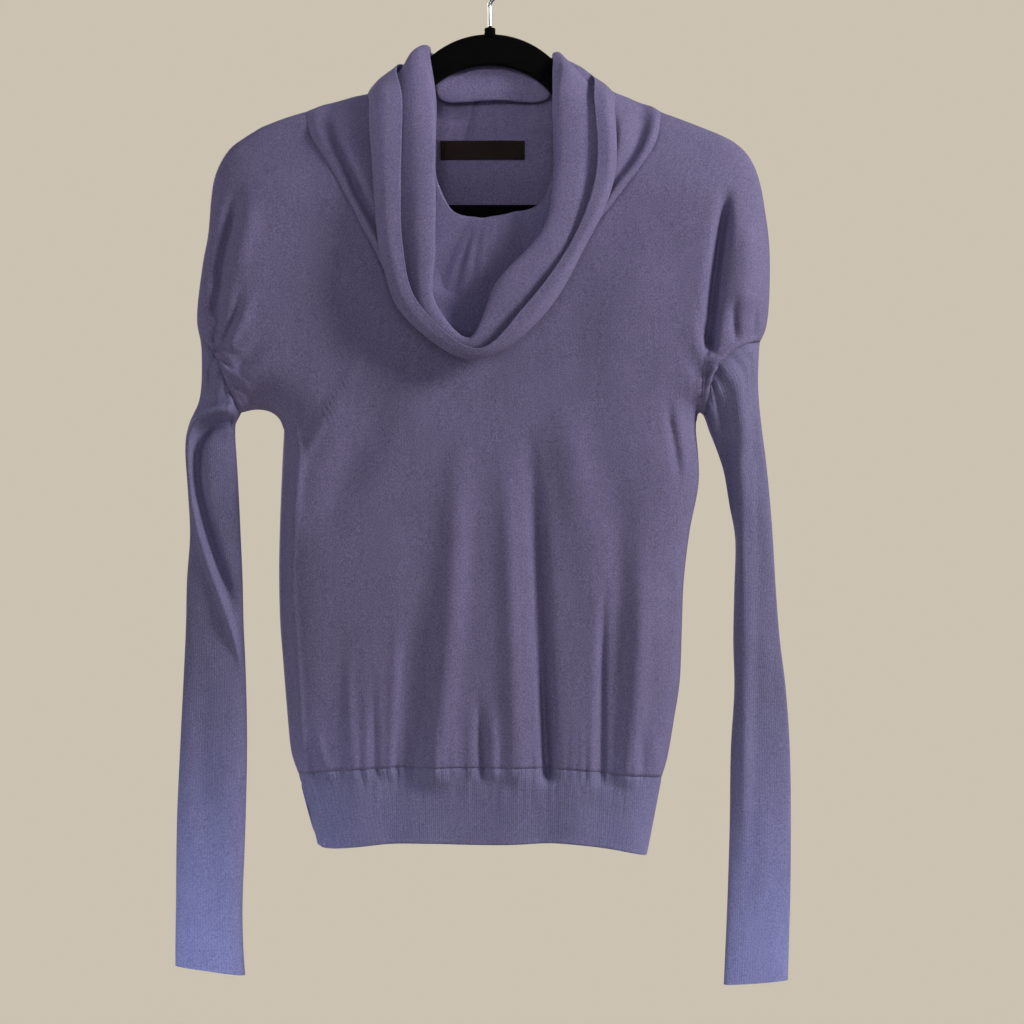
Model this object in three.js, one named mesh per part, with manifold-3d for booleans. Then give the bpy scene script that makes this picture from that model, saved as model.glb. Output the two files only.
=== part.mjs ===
// Cowl neck sweater hanging on a flocked hanger, in millimetres, +Z up, front towards -Y.
import * as THREE from 'three';
import Module from 'manifold-3d';

// Driving sizes
const SHEET_UNIT = 0.83; // mm per unit of the front drawing sheet
const SHEET_CENTRE = 490; // across value of the hanger's middle on the sheet
const SHEET_TOP = 38.8; // mm from the rail down to the sheet's upper edge
const WALL = 2.0; // cloth thickness
const SEAM_GAP = 0.3; // space between two sewn pieces
const BACK_EASE = 1.2; // more room where the back neck seam turns at the shoulders
const HANGER_LEFT = 222; // sheet places of the hanger's two ends
const HANGER_RIGHT = 753;
const HANGER_THICK = 6.0;
const HANGER_ROUND = 2.6; // rounding of the hanger's edges
const BAR_TOP = 205; // sheet heights of the hanger's bottom bar
const BAR_LOW = 223;
const BOSS_RADIUS = 4.5;
const WIRE_RADIUS = 1.6;
const CROOK_RADIUS = 19.6; // to the wire's middle
const AROUND_NECK = 3; // faces between two stations of the neck
const SHOULDER_FACES = 4;
const WING_FACES = 10; // across the upper sleeve
const RIB_FACES = 12; // along the seam of the ribbed sleeve
const BODY_FACES = 10; // from the underarm down to the hem band
const SEAM_BIAS = 1.6; // rows lie closer together near the shoulder seam

// Colours of cloth, hanger and hook
const cloth = (name, hex, roughness) => {
  const paint = new THREE.MeshStandardMaterial({ color: hex, roughness, metalness: 0 });
  paint.name = name;
  return paint;
};

// Sheet to frame
const mmAcross = (across) => (across - SHEET_CENTRE) * SHEET_UNIT;
const mmDown = (down) => -SHEET_TOP - down * SHEET_UNIT;
const flat = ([across, down]) => new THREE.Vector2(mmAcross(across), mmDown(down));

// Curves of the outline, each row is [across, down] on the sheet
const SHOULDER_LEFT = [[308, 112], [285, 119], [262, 128], [245, 138.5], [231, 149], [221, 164], [215, 180]];
const OVERARM_LEFT = [[215, 180], [212, 200], [209, 235], [204, 262], [199, 300], [198, 322], [201, 338]];
const RIB_SEAM_LEFT = [[201, 338], [212, 347], [219, 357], [228, 378], [241, 412]];
const UNDERARM_LEFT = [[241, 412], [258, 409], [274, 413], [285, 430]];
const SIDE_LEFT = [
  [285, 430], [283, 470], [281, 520], [280, 570], [281, 620], [284, 660], [288, 710], [292, 750], [299, 772],
];
const SHOULDER_RIGHT = [[661, 113], [688, 123], [716, 134], [732, 142], [745, 153], [754, 168], [760, 187]];
const OVERARM_RIGHT = [[760, 187], [764, 210], [768, 240], [769, 270], [768, 305], [765, 328], [759, 342]];
const RIB_SEAM_RIGHT = [[759, 342], [739, 348], [722, 360], [711, 378], [704, 415]];
const UNDERARM_RIGHT = [[704, 415], [700, 412], [696.5, 416], [695, 430]];
const SIDE_RIGHT = [
  [695, 430], [698, 480], [689, 530], [683, 580], [681, 630], [679, 680], [673, 720], [667, 755], [661, 776],
];
const HEM_SEAM = [[299, 772], [347, 767.5], [406, 764.5], [490, 764.5], [560, 766], [622, 772], [661, 776]];
const HEM_EDGE = [[318, 843], [336, 845.5], [400, 839.5], [490, 841], [560, 839.5], [610, 845.5], [646, 854]];
const COLUMN_LEFT = [[262, 128], [268, 200], [272, 300], [276, 380], [285, 430]];
const COLUMN_RIGHT = [[716, 134], [708, 200], [702, 300], [697, 380], [695, 430]];

// Half depth of the body, mm in front of and behind the middle plane
const FULLNESS = [
  { down: 60, front: 20, back: 16 },
  { down: 250, front: 26, back: 18 },
  { down: 430, front: 27, back: 18 },
  { down: 600, front: 25, back: 17 },
  { down: 770, front: 21, back: 15 },
  { down: 850, front: 18, back: 13 },
];
const ROUND_SHOULDER = 120; // mm over which the cloth leaves the shoulder seam
const ROUND_OVERARM = 42;
const OVERARM_START = 120; // sheet heights between which the first passes into the second
const OVERARM_FULL = 230;
const ROUND_SIDE = 46;

// Folds: path on the sheet, half width in mm, height in mm, less than nothing for a trough
const FRONT_FOLDS = [
  { path: [[257, 165], [240, 208], [228, 264], [219, 320]], half: 11, height: -9 },
  { path: [[727, 185], [724, 216], [714, 264], [706, 320], [701, 370]], half: 11, height: -9 },
  { path: [[228, 190], [216, 250], [207, 310]], half: 12, height: 5 },
  { path: [[748, 200], [746, 260], [738, 320]], half: 14, height: 5 },
  { path: [[517, 420], [527, 480], [533, 547], [537, 630], [541, 765]], half: 9, height: -6 },
  { path: [[474, 420], [486, 520], [500, 613], [507, 765]], half: 13, height: 4 },
  { path: [[403, 390], [387, 447], [343, 547]], half: 12, height: -3 },
  { path: [[432, 770], [450, 663], [455, 560]], half: 9, height: -3 },
  { path: [[599, 570], [602, 647], [600, 770]], half: 8, height: -3.5 },
  { path: [[640, 470], [639, 613], [622, 770]], half: 10, height: -3.5 },
  { path: [[663, 400], [677, 447], [690, 500]], half: 7, height: -3 },
  { path: [[310, 385], [310, 470], [303, 545]], half: 9, height: 3 },
  { path: [[560, 640], [556, 770]], half: 9, height: 3 },
];
const BACK_FOLDS = [
  { path: [[255, 170], [238, 230], [225, 320]], half: 11, height: -7 },
  { path: [[727, 185], [716, 250], [704, 360]], half: 11, height: -7 },
  { path: [[430, 430], [440, 600], [436, 770]], half: 13, height: -4 },
  { path: [[560, 400], [548, 560], [552, 770]], half: 12, height: -4 },
  { path: [[360, 560], [368, 770]], half: 10, height: 3 },
  { path: [[625, 520], [612, 770]], half: 10, height: -3 },
];

// Neckline stations from the back middle round by the viewer's left: across, down
const NECK = [
  [490, 137], [395, 134], [308, 112], [313, 138], [339, 182], [372, 244], [408, 305],
  [478, 340], [545, 300], [586, 240], [620, 196], [652, 150], [661, 113], [575, 134],
];
const STATIONS = NECK.length;
const LEFT_POINT = 2; // station at the left shoulder
const RIGHT_POINT = 12; // station at the right shoulder

// Loops of the collar from the neckline outwards, one row a station: across, down, mm to the front
const COLLAR_LOOPS = [
  { name: 'standing part', rows: [
    [490, 114, -19], [420, 112, -17], [382, 90, 0], [371, 116, 15], [394, 181, 22], [412, 240, 27],
    [440, 282, 29], [482, 290, 29], [530, 272, 29], [562, 230, 27], [592, 190, 22], [614, 116, 15],
    [608, 90, 0], [566, 108, -16]] },
  { name: 'top fold', rows: [
    [490, 96, -9], [450, 86, -10], [429, 48, -1], [437, 108, 20], [437, 182, 24], [453, 215, 28],
    [473, 221, 30], [491, 222, 30], [516, 216, 30], [538, 209, 28], [553, 180, 24], [552, 104, 20],
    [553, 54, -1], [535, 84, -11]] },
  { name: 'inside of the roll', rows: [
    [490, 82, -7], [450, 70, -9], [424, 46, 0], [433, 108, 26], [433, 183, 30], [441, 246, 34],
    [446, 298, 35], [474, 332, 36], [497, 284, 35], [539, 236, 34], [556, 181, 30], [556, 105, 26],
    [558, 53, 0], [537, 68, -9]] },
  { name: 'inner roll', rows: [
    [490, 67, -12], [450, 57, -14], [413, 53, 2], [420, 109, 35], [421, 183, 38], [424, 250, 43],
    [428, 320, 46], [468, 350, 47], [511, 306, 47], [557, 249, 43], [571, 183, 38], [571, 107, 35],
    [569, 63, 2], [538, 57, -14]] },
  { name: 'valley under the edge', rows: [
    [490, 74, -25], [446, 68, -24], [401, 73, 1], [403, 111, 28], [405, 184, 30], [409, 253, 35],
    [419, 319, 39], [472, 355, 42], [523, 322, 40], [571, 253, 35], [593, 186, 30], [590, 110, 28],
    [588, 84, 1], [540, 69, -24]] },
  { name: 'outer fold', rows: [
    [490, 104, -30], [430, 100, -29], [373, 92, 0], [373, 113, 24], [377, 183, 30], [384, 256, 35],
    [406, 317, 39], [474, 363, 41], [536, 325, 40], [581, 253, 35], [610, 190, 30], [612, 112, 24],
    [611, 97, 0], [556, 101, -29]] },
  { name: 'outer roll', rows: [
    [490, 98, -36], [434, 90, -35], [383, 79, 1], [387, 111, 37], [389, 182, 43], [394, 254, 48],
    [412, 313, 51], [476, 360, 50], [530, 321, 52], [577, 250, 48], [603, 187, 42], [602, 108, 37],
    [601, 84, 1], [552, 91, -35]] },
  { name: 'free edge', rows: [
    [490, 80, -34], [440, 72, -33], [399, 66, 3], [403, 109, 36], [403, 180, 41], [406, 251, 46],
    [420, 308, 50], [479, 355, 52], [525, 315, 52], [572, 247, 46], [596, 181, 41], [592, 107, 36],
    [590, 76, 3], [546, 73, -33]] },
];
const COLLAR_STEPS = [3, 3, 2, 2, 2, 3, 3, 2]; // faces from each loop to the next

// Ribbed sleeves: outer and inner edge of each ring, half depth, place and height of the crease
const SLEEVE_LEFT = [
  { outer: [203, 352], inner: [238, 418], depth: 30, crease: 0.3, ridge: 0 },
  { outer: [203, 380], inner: [235, 424], depth: 25, crease: 0.15, ridge: 1 },
  { outer: [200, 402], inner: [234.5, 433], depth: 20, crease: 0.12, ridge: 2 },
  { outer: [190, 425], inner: [235, 444], depth: 14, crease: 0.12, ridge: 3 },
  { outer: [186.5, 448], inner: [236, 458], depth: 13, crease: 0.15, ridge: 3 },
  { outer: [189, 490], inner: [238, 492], depth: 12, crease: 0.2, ridge: 3 },
  { outer: [191, 535], inner: [240, 535], depth: 11.5, crease: 0.35, ridge: 3 },
  { outer: [188, 580], inner: [242, 580], depth: 11, crease: 0.62, ridge: 3 },
  { outer: [187, 625], inner: [243, 625], depth: 11, crease: 0.85, ridge: 3 },
  { outer: [185, 670], inner: [245, 670], depth: 11, crease: 0.9, ridge: 2 },
  { outer: [181.5, 740], inner: [246.5, 740], depth: 11, crease: 0.85, ridge: 2 },
  { outer: [178, 820], inner: [245, 820], depth: 10.5, crease: 0.85, ridge: 2 },
  { outer: [177, 900], inner: [242, 900], depth: 10, crease: 0.8, ridge: 1 },
  { outer: [176.5, 940], inner: [242.5, 942], depth: 10, crease: 0.8, ridge: 0 },
  { outer: [176.5, 965], inner: [244.5, 974.5], depth: 10, crease: 0.8, ridge: 0 },
];
const SLEEVE_RIGHT = [
  { outer: [758, 352], inner: [707, 422], depth: 30, crease: 0.3, ridge: 0 },
  { outer: [757, 378], inner: [710, 431], depth: 25, crease: 0.25, ridge: 1 },
  { outer: [758, 402], inner: [714.5, 442], depth: 20, crease: 0.3, ridge: 2 },
  { outer: [761, 430], inner: [720, 457], depth: 14, crease: 0.35, ridge: 3 },
  { outer: [765, 460], inner: [725, 474], depth: 13, crease: 0.4, ridge: 3 },
  { outer: [769, 500], inner: [730, 504], depth: 12, crease: 0.5, ridge: 3 },
  { outer: [772, 540], inner: [736, 540], depth: 11, crease: 0.58, ridge: 3 },
  { outer: [775, 590], inner: [735, 590], depth: 11, crease: 0.62, ridge: 3 },
  { outer: [779, 640], inner: [734, 640], depth: 11, crease: 0.66, ridge: 3 },
  { outer: [785, 690], inner: [735, 690], depth: 11, crease: 0.72, ridge: 2.5 },
  { outer: [789, 750], inner: [731.5, 750], depth: 11, crease: 0.78, ridge: 2 },
  { outer: [790, 820], inner: [730.5, 820], depth: 10.5, crease: 0.8, ridge: 2 },
  { outer: [789.5, 890], inner: [728.5, 890], depth: 10, crease: 0.8, ridge: 1 },
  { outer: [788, 945], inner: [726, 950], depth: 10, crease: 0.8, ridge: 0 },
  { outer: [787, 979], inner: [724.5, 984], depth: 10, crease: 0.8, ridge: 0 },
];

// Neck label, on the inner face of the back: across and down limits, thickness
const LABEL = { left: 440, right: 525, top: 140, low: 158, thick: 0.6 };

// Hanger: upper edge of the left and right arm, own units of the sheet
const ARM_LEFT = [[402, 95], [385, 100], [350, 107.5], [308, 116], [262, 132], [248, 141.8], [235, 153]];
const ARM_RIGHT = [[577, 95], [600, 102], [628, 109], [661, 117.3], [714, 138], [728, 146.5], [740, 158]];

/** Piecewise curve through sheet points, t runs evenly in length from 0 to 1. */
function sheetCurve(points) {
  const curve = new THREE.SplineCurve(points.map(flat));
  curve.arcLengthDivisions = 200;
  return (t) => curve.getPointAt(Math.min(1, Math.max(0, t)));
}

/** Nearest distance in mm from a flat point to a run of points. */
function distanceTo(run, x, z) {
  let best = Infinity;
  for (let k = 0; k + 1 < run.length; k += 1) {
    const a = run[k];
    const b = run[k + 1];
    const dx = b.x - a.x;
    const dz = b.y - a.y;
    const t = Math.min(1, Math.max(0, ((x - a.x) * dx + (z - a.y) * dz) / (dx * dx + dz * dz || 1)));
    best = Math.min(best, Math.hypot(x - a.x - t * dx, z - a.y - t * dz));
  }
  return best;
}

/** Dense run of flat points through several joined rows of sheet points. */
function denseRun(...rows) {
  return rows.flatMap((row) => {
    const curve = new THREE.SplineCurve(row.map(flat));
    return curve.getSpacedPoints(row.length * 4);
  });
}

const upperRuns = [
  denseRun(SHOULDER_LEFT, OVERARM_LEFT, [[201, 338], [203, 360], [200, 402], [190, 430], [186, 600]]),
  denseRun(SHOULDER_RIGHT, OVERARM_RIGHT, [[759, 342], [757, 378], [761, 430], [776, 600]]),
];
const sideRuns = [
  denseRun(UNDERARM_LEFT, SIDE_LEFT, [[299, 772], [309, 805], [318, 843]]),
  denseRun(UNDERARM_RIGHT, SIDE_RIGHT, [[661, 776], [654, 815], [646, 854]]),
];

/** Quarter-ellipse rise from nothing at the seam to one at the given width. */
function rise(distance, width) {
  const left = 1 - Math.min(1, Math.max(0, distance) / width);
  return Math.sqrt(Math.max(0, 1 - left * left));
}

/** Value between two rows of the fullness table. */
function fullness(down, column) {
  const last = FULLNESS.length - 1;
  if (down <= FULLNESS[0].down) return FULLNESS[0][column];
  if (down >= FULLNESS[last].down) return FULLNESS[last][column];
  const next = FULLNESS.findIndex((row) => row.down > down);
  const a = FULLNESS[next - 1];
  const b = FULLNESS[next];
  return THREE.MathUtils.lerp(a[column], b[column], (down - a.down) / (b.down - a.down));
}

/** Runs of the folds, worked out once. */
const foldRuns = (folds) => folds.map((fold) => ({ ...fold, run: denseRun(fold.path) }));
const FOLDS = { front: foldRuns(FRONT_FOLDS), back: foldRuns(BACK_FOLDS) };

/** Depth of a panel's middle surface at a flat point, mm from the middle plane. */
function depthOf(column, x, z) {
  const down = (-z - SHEET_TOP) / SHEET_UNIT;
  let edge = 1;
  const upperWidth = THREE.MathUtils.lerp(
    ROUND_SHOULDER, ROUND_OVERARM, THREE.MathUtils.smoothstep(down, OVERARM_START, OVERARM_FULL));
  for (const run of upperRuns) edge *= rise(distanceTo(run, x, z), upperWidth);
  for (const run of sideRuns) edge *= rise(distanceTo(run, x, z), ROUND_SIDE);
  let fold = 0;
  for (const { run, half, height } of FOLDS[column]) {
    const away = distanceTo(run, x, z) / half;
    fold += height * Math.exp(-away * away);
  }
  return edge * (fullness(down, column) + fold);
}

/** Point of a panel in space, kept clear of the other panel at the seam. */
function onPanel(column, { x, y: z }) {
  const y = Math.max(SEAM_GAP / 2, depthOf(column, x, z));
  return new THREE.Vector3(x, column === 'front' ? -y : y, z);
}

/** Outward direction of a panel's surface at a flat point. */
function outward(column, { x, y: z }) {
  const step = 0.5;
  const slopeX = depthOf(column, x + step, z) - depthOf(column, x - step, z);
  const slopeZ = depthOf(column, x, z + step) - depthOf(column, x, z - step);
  return new THREE.Vector3(-slopeX, column === 'front' ? -2 * step : 2 * step, -slopeZ).normalize();
}

/** Outward directions along a seam whose two ends lie on the outline. */
function seamNormals(column, points) {
  const last = points.length - 1;
  return points.map((point, k) => {
    if (k > 0 && k < last) return outward(column, point);
    const inner = points[k === 0 ? 1 : last - 1];
    const normal = outward(column, new THREE.Vector2().lerpVectors(point, inner, 0.4));
    normal.y = 0;
    return normal.normalize();
  });
}

/** Sheet of quads that are welded by place, later thickened to a closed cloth solid. */
class Cloth {
  constructor() {
    this.points = [];
    this.index = new Map();
    this.quads = [];
    this.level = new Set();
    this.given = new Map();
  }

  /** Number of a point, the same for points at one place. */
  add(point, level = false, normal = null) {
    const key = point.toArray().map((value) => Math.round(value * 500)).join();
    if (!this.index.has(key)) {
      this.index.set(key, this.points.length);
      this.points.push(point);
    }
    const number = this.index.get(key);
    if (level) this.level.add(number);
    if (normal) this.given.set(number, normal);
    return number;
  }

  /** Grid of points, rows down and columns to the right as seen from outside. */
  grid(rows, turned = false, closed = false) {
    for (let i = 0; i + 1 < rows.length; i += 1) {
      const wide = rows[i].length;
      for (let j = 0; j < (closed ? wide : wide - 1); j += 1) {
        const k = (j + 1) % wide;
        const quad = [rows[i][j], rows[i + 1][j], rows[i + 1][k], rows[i][k]];
        this.quads.push(turned ? quad.reverse() : quad);
      }
    }
  }

  /** Triangles of the middle surface, faces of no size left out. */
  triangles() {
    const faces = [];
    for (const [a, b, c, d] of this.quads) {
      for (const face of [[a, b, c], [a, c, d]]) {
        if (new Set(face).size === 3) faces.push(face);
      }
    }
    return faces;
  }

  /** Closed solid of the given wall, equal on both sides of the middle surface. */
  solid(wall) {
    const faces = this.triangles();
    const normals = this.points.map(() => new THREE.Vector3());
    for (const face of faces) {
      const [a, b, c] = face.map((number) => this.points[number]);
      const turn = new THREE.Vector3().subVectors(b, a).cross(new THREE.Vector3().subVectors(c, a));
      for (const number of face) normals[number].add(turn);
    }
    normals.forEach((normal, number) => {
      if (this.given.has(number)) normal.copy(this.given.get(number));
      if (this.level.has(number)) normal.y = 0;
      normal.normalize();
    });
    const count = this.points.length;
    const corners = [1, -1].flatMap((way) => this.points.flatMap(
      (point, number) => point.clone().addScaledVector(normals[number], (way * wall) / 2).toArray()));
    const out = [];
    const edges = new Map();
    for (const [a, b, c] of faces) {
      out.push(a, b, c, a + count, c + count, b + count);
      for (const [from, to] of [[a, b], [b, c], [c, a]]) {
        if (!edges.delete(`${to},${from}`)) edges.set(`${from},${to}`, [from, to]);
      }
    }
    for (const [from, to] of edges.values()) {
      out.push(to, from, from + count, to, from + count, to + count);
    }
    const shape = new THREE.BufferGeometry();
    shape.setAttribute('position', new THREE.Float32BufferAttribute(corners, 3));
    shape.setIndex(out);
    return shape;
  }
}

/** Share of a run's length that lies before each of its points. */
function progress(run) {
  const lengths = [0];
  for (let k = 1; k < run.length; k += 1) lengths.push(lengths[k - 1] + run[k].distanceTo(run[k - 1]));
  return lengths.map((length) => length / lengths.at(-1));
}

/** Flat patch between four edges that meet at its corners. */
function patch(top, low, left, right) {
  const grid = [];
  const columns = top.length - 1;
  const [a, b] = [top[0], top[columns]];
  const [c, d] = [low[0], low[columns]];
  const [downLeft, downRight] = [progress(left), progress(right)];
  for (let i = 0; i < left.length; i += 1) {
    const v = (downLeft[i] + downRight[i]) / 2;
    grid.push([]);
    for (let j = 0; j <= columns; j += 1) {
      const u = j / columns;
      const point = new THREE.Vector2()
        .addScaledVector(top[j], 1 - v).addScaledVector(low[j], v)
        .addScaledVector(left[i], 1 - u).addScaledVector(right[i], u)
        .addScaledVector(a, -(1 - u) * (1 - v)).addScaledVector(b, -u * (1 - v))
        .addScaledVector(c, -(1 - u) * v).addScaledVector(d, -u * v);
      grid[i].push(point);
    }
  }
  return grid;
}

/** Evenly spaced points of a sheet curve, drawn closer to its start where asked. */
function spread(points, faces, bias = 1) {
  const curve = sheetCurve(points);
  return Array.from({ length: faces + 1 }, (_, k) => curve((k / faces) ** bias));
}

// Neckline in a front and a back curve that meet at the shoulders, read by station number
const FRONT_SPAN = RIGHT_POINT - LEFT_POINT;
const BACK_SPAN = STATIONS - FRONT_SPAN;
const neckFront = new THREE.SplineCurve(NECK.slice(LEFT_POINT, RIGHT_POINT + 1).map(flat));
const neckBack = new THREE.SplineCurve(
  [...NECK.slice(RIGHT_POINT), ...NECK.slice(0, LEFT_POINT + 1)].map(flat));
const neckAt = (station) => {
  const place = (station + STATIONS) % STATIONS;
  if (place >= LEFT_POINT && place <= RIGHT_POINT) return neckFront.getPoint((place - LEFT_POINT) / FRONT_SPAN);
  const past = place > RIGHT_POINT ? place - RIGHT_POINT : place + STATIONS - RIGHT_POINT;
  return neckBack.getPoint(past / BACK_SPAN);
};

/** Flat neckline points of the front or back, from the viewer's left to right. */
function neckline(column) {
  const list = [];
  if (column === 'front') {
    const faces = FRONT_SPAN * AROUND_NECK;
    for (let k = 0; k <= faces; k += 1) list.push(neckAt(LEFT_POINT + k / AROUND_NECK));
    return list;
  }
  const faces = BACK_SPAN * AROUND_NECK;
  for (let k = 0; k <= faces; k += 1) list.push(neckAt(LEFT_POINT - k / AROUND_NECK));
  return list;
}

const splitAt = (points, first, last) => points.slice(first, last + 1);

/** Flat edges that both body panels share, and their own top edge. */
function bodyEdges(column) {
  const shoulderLeft = spread(splitAt(SHOULDER_LEFT, 0, 2).reverse(), SHOULDER_FACES);
  const shoulderRight = spread(splitAt(SHOULDER_RIGHT, 0, 2), SHOULDER_FACES);
  const top = [...shoulderLeft.slice(0, -1), ...neckline(column), ...shoulderRight.slice(1)];
  const left = [...spread(COLUMN_LEFT, RIB_FACES, SEAM_BIAS), ...spread(SIDE_LEFT, BODY_FACES).slice(1)];
  const right = [...spread(COLUMN_RIGHT, RIB_FACES, SEAM_BIAS), ...spread(SIDE_RIGHT, BODY_FACES).slice(1)];
  return { top, left, right, low: spread(HEM_SEAM, top.length - 1) };
}

/** Flat upper sleeve beside the body, from the shared column out to the ribbed seam. */
function wingGrid(shoulder, overarm, rib, underarm, column) {
  const outer = spread([...splitAt(shoulder, 2, 6), ...overarm.slice(1)], WING_FACES);
  const lower = spread([...underarm].reverse(), WING_FACES);
  const shared = spread(column, RIB_FACES, SEAM_BIAS);
  return patch(shared, spread(rib, RIB_FACES), outer, lower);
}

/** Front or back panel with its cut-on upper sleeves. */
function panel(column) {
  const body = new Cloth();
  const { top, left, right, low } = bodyEdges(column);
  const grid = patch(top, low, left, right);
  const last = top.length - 1;
  const front = column === 'front';
  const neck = seamNormals(column, neckline(column));
  const hem = seamNormals(column, low);
  body.grid(grid.map((row, i) => row.map((point, j) => {
    const shoulder = i === 0 && (j <= SHOULDER_FACES || j >= last - SHOULDER_FACES);
    const side = i >= RIB_FACES && (j === 0 || j === last);
    let normal = i === 0 ? neck[j - SHOULDER_FACES] : null;
    if (i === grid.length - 1) normal = hem[j];
    return body.add(onPanel(column, point), shoulder || side, normal);
  })), !front);
  const wings = [
    [wingGrid(SHOULDER_LEFT, OVERARM_LEFT, RIB_SEAM_LEFT, UNDERARM_LEFT, COLUMN_LEFT), front],
    [wingGrid(SHOULDER_RIGHT, OVERARM_RIGHT, RIB_SEAM_RIGHT, UNDERARM_RIGHT, COLUMN_RIGHT), !front],
  ];
  for (const [wing, turned] of wings) {
    const ribNormals = seamNormals(column, wing[WING_FACES]);
    body.grid(wing.map((row, i) => row.map((point, j) => body.add(
      onPanel(column, point), j === 0 || j === RIB_FACES, i === WING_FACES ? ribNormals[j] : null))),
    !turned);
  }
  return body.solid(WALL);
}

const HEM_FACES = 5;
// Slack beyond the seam gap, mm, where a seam bends
const HEM_SLACK = 0.05;
const BEND_SLACK = 0.1;

/** Ribbed band below one body panel. */
function hemBand(column) {
  const band = new Cloth();
  const { low } = bodyEdges(column);
  const edge = spread(HEM_EDGE, low.length - 1);
  const normals = seamNormals(column, low);
  const grid = [];
  for (let i = 0; i <= HEM_FACES; i += 1) {
    grid.push(low.map((point, j) => {
      const flatPoint = new THREE.Vector2().lerpVectors(point, edge[j], i / HEM_FACES);
      const ends = j === 0 || j === low.length - 1;
      if (i > 0) return band.add(onPanel(column, flatPoint), ends);
      const place = onPanel(column, point);
      const below = new THREE.Vector3(0, 0, -1).addScaledVector(normals[j], normals[j].z).normalize();
      return band.add(place.addScaledVector(below, SEAM_GAP + HEM_SLACK), ends, normals[j]);
    }));
  }
  band.grid(grid, column !== 'front');
  return band.solid(WALL);
}

// Section of a sleeve: power of its rounding, share of the depth before and behind, width of its crease
const SLEEVE_POWER = 2.3;
const SLEEVE_AHEAD = 0.6;
const SLEEVE_BEHIND = 0.5;
const CREASE_WIDTH = 0.14;

/** Half section of a sleeve: how far the cloth stands off between its two edges. */
function sleeveDepth(row, share, front) {
  const round = (1 - Math.abs(2 * share - 1) ** SLEEVE_POWER) ** (1 / SLEEVE_POWER);
  const crest = front ? row.ridge * Math.exp(-(((share - row.crease) / CREASE_WIDTH) ** 2)) * round : 0;
  return row.depth * (front ? SLEEVE_AHEAD : SLEEVE_BEHIND) * round + crest;
}

/** Way in which a sleeve leaves its slanted seam. */
function sleeveWay(row, rib) {
  const seamMiddle = flat(rib[0]).add(flat(rib.at(-1)));
  const way = flat(row.outer).add(flat(row.inner)).sub(seamMiddle).normalize();
  return new THREE.Vector3(way.x, 0, way.y);
}

/** Long ribbed sleeve as a tube that starts on the panels' slanted seam. */
function sleeve(rows, rib, mirrored) {
  const tube = new Cloth();
  const seam = spread(rib, RIB_FACES);
  const outerEdge = new THREE.SplineCurve(rows.map((row) => flat(row.outer)));
  const innerEdge = new THREE.SplineCurve(rows.map((row) => flat(row.inner)));
  const rings = [];
  const away = sleeveWay(rows[0], rib);
  const first = [];
  for (const column of ['front', 'back']) {
    const normals = seamNormals(column, seam);
    for (let k = 0; k < RIB_FACES; k += 1) {
      const number = column === 'front' ? k : RIB_FACES - k;
      const place = onPanel(column, seam[number]);
      if (k === 0) place.y = 0;
      const normal = normals[number];
      const before = onPanel(column, seam[Math.max(0, number - 1)]);
      const after = onPanel(column, seam[Math.min(RIB_FACES, number + 1)]);
      const along = after.sub(before).cross(normal).normalize();
      if (along.dot(away) < 0) along.negate();
      first.push(tube.add(place.addScaledVector(along, SEAM_GAP + BEND_SLACK), k === 0, normal));
    }
  }
  const total = rows.length - 1;
  for (let i = 0; i <= total; i += 1) {
    const row = rows[i];
    const outer = outerEdge.getPoint(i / total);
    const inner = innerEdge.getPoint(i / total);
    const ring = [];
    for (const column of ['front', 'back']) {
      for (let k = 0; k < RIB_FACES; k += 1) {
        const way = (1 - Math.cos((Math.PI * k) / RIB_FACES)) / 2;
        const share = column === 'front' ? way : 1 - way;
        const place = new THREE.Vector2().lerpVectors(outer, inner, share);
        const off = k === 0 ? 0 : sleeveDepth(row, share, column === 'front');
        ring.push(new THREE.Vector3(place.x, column === 'front' ? -off : off, place.y));
      }
    }
    rings.push(ring);
  }
  tube.grid([first, ...rings.map((ring) => ring.map((point) => tube.add(point)))], mirrored, true);
  return tube.solid(WALL);
}

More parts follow.
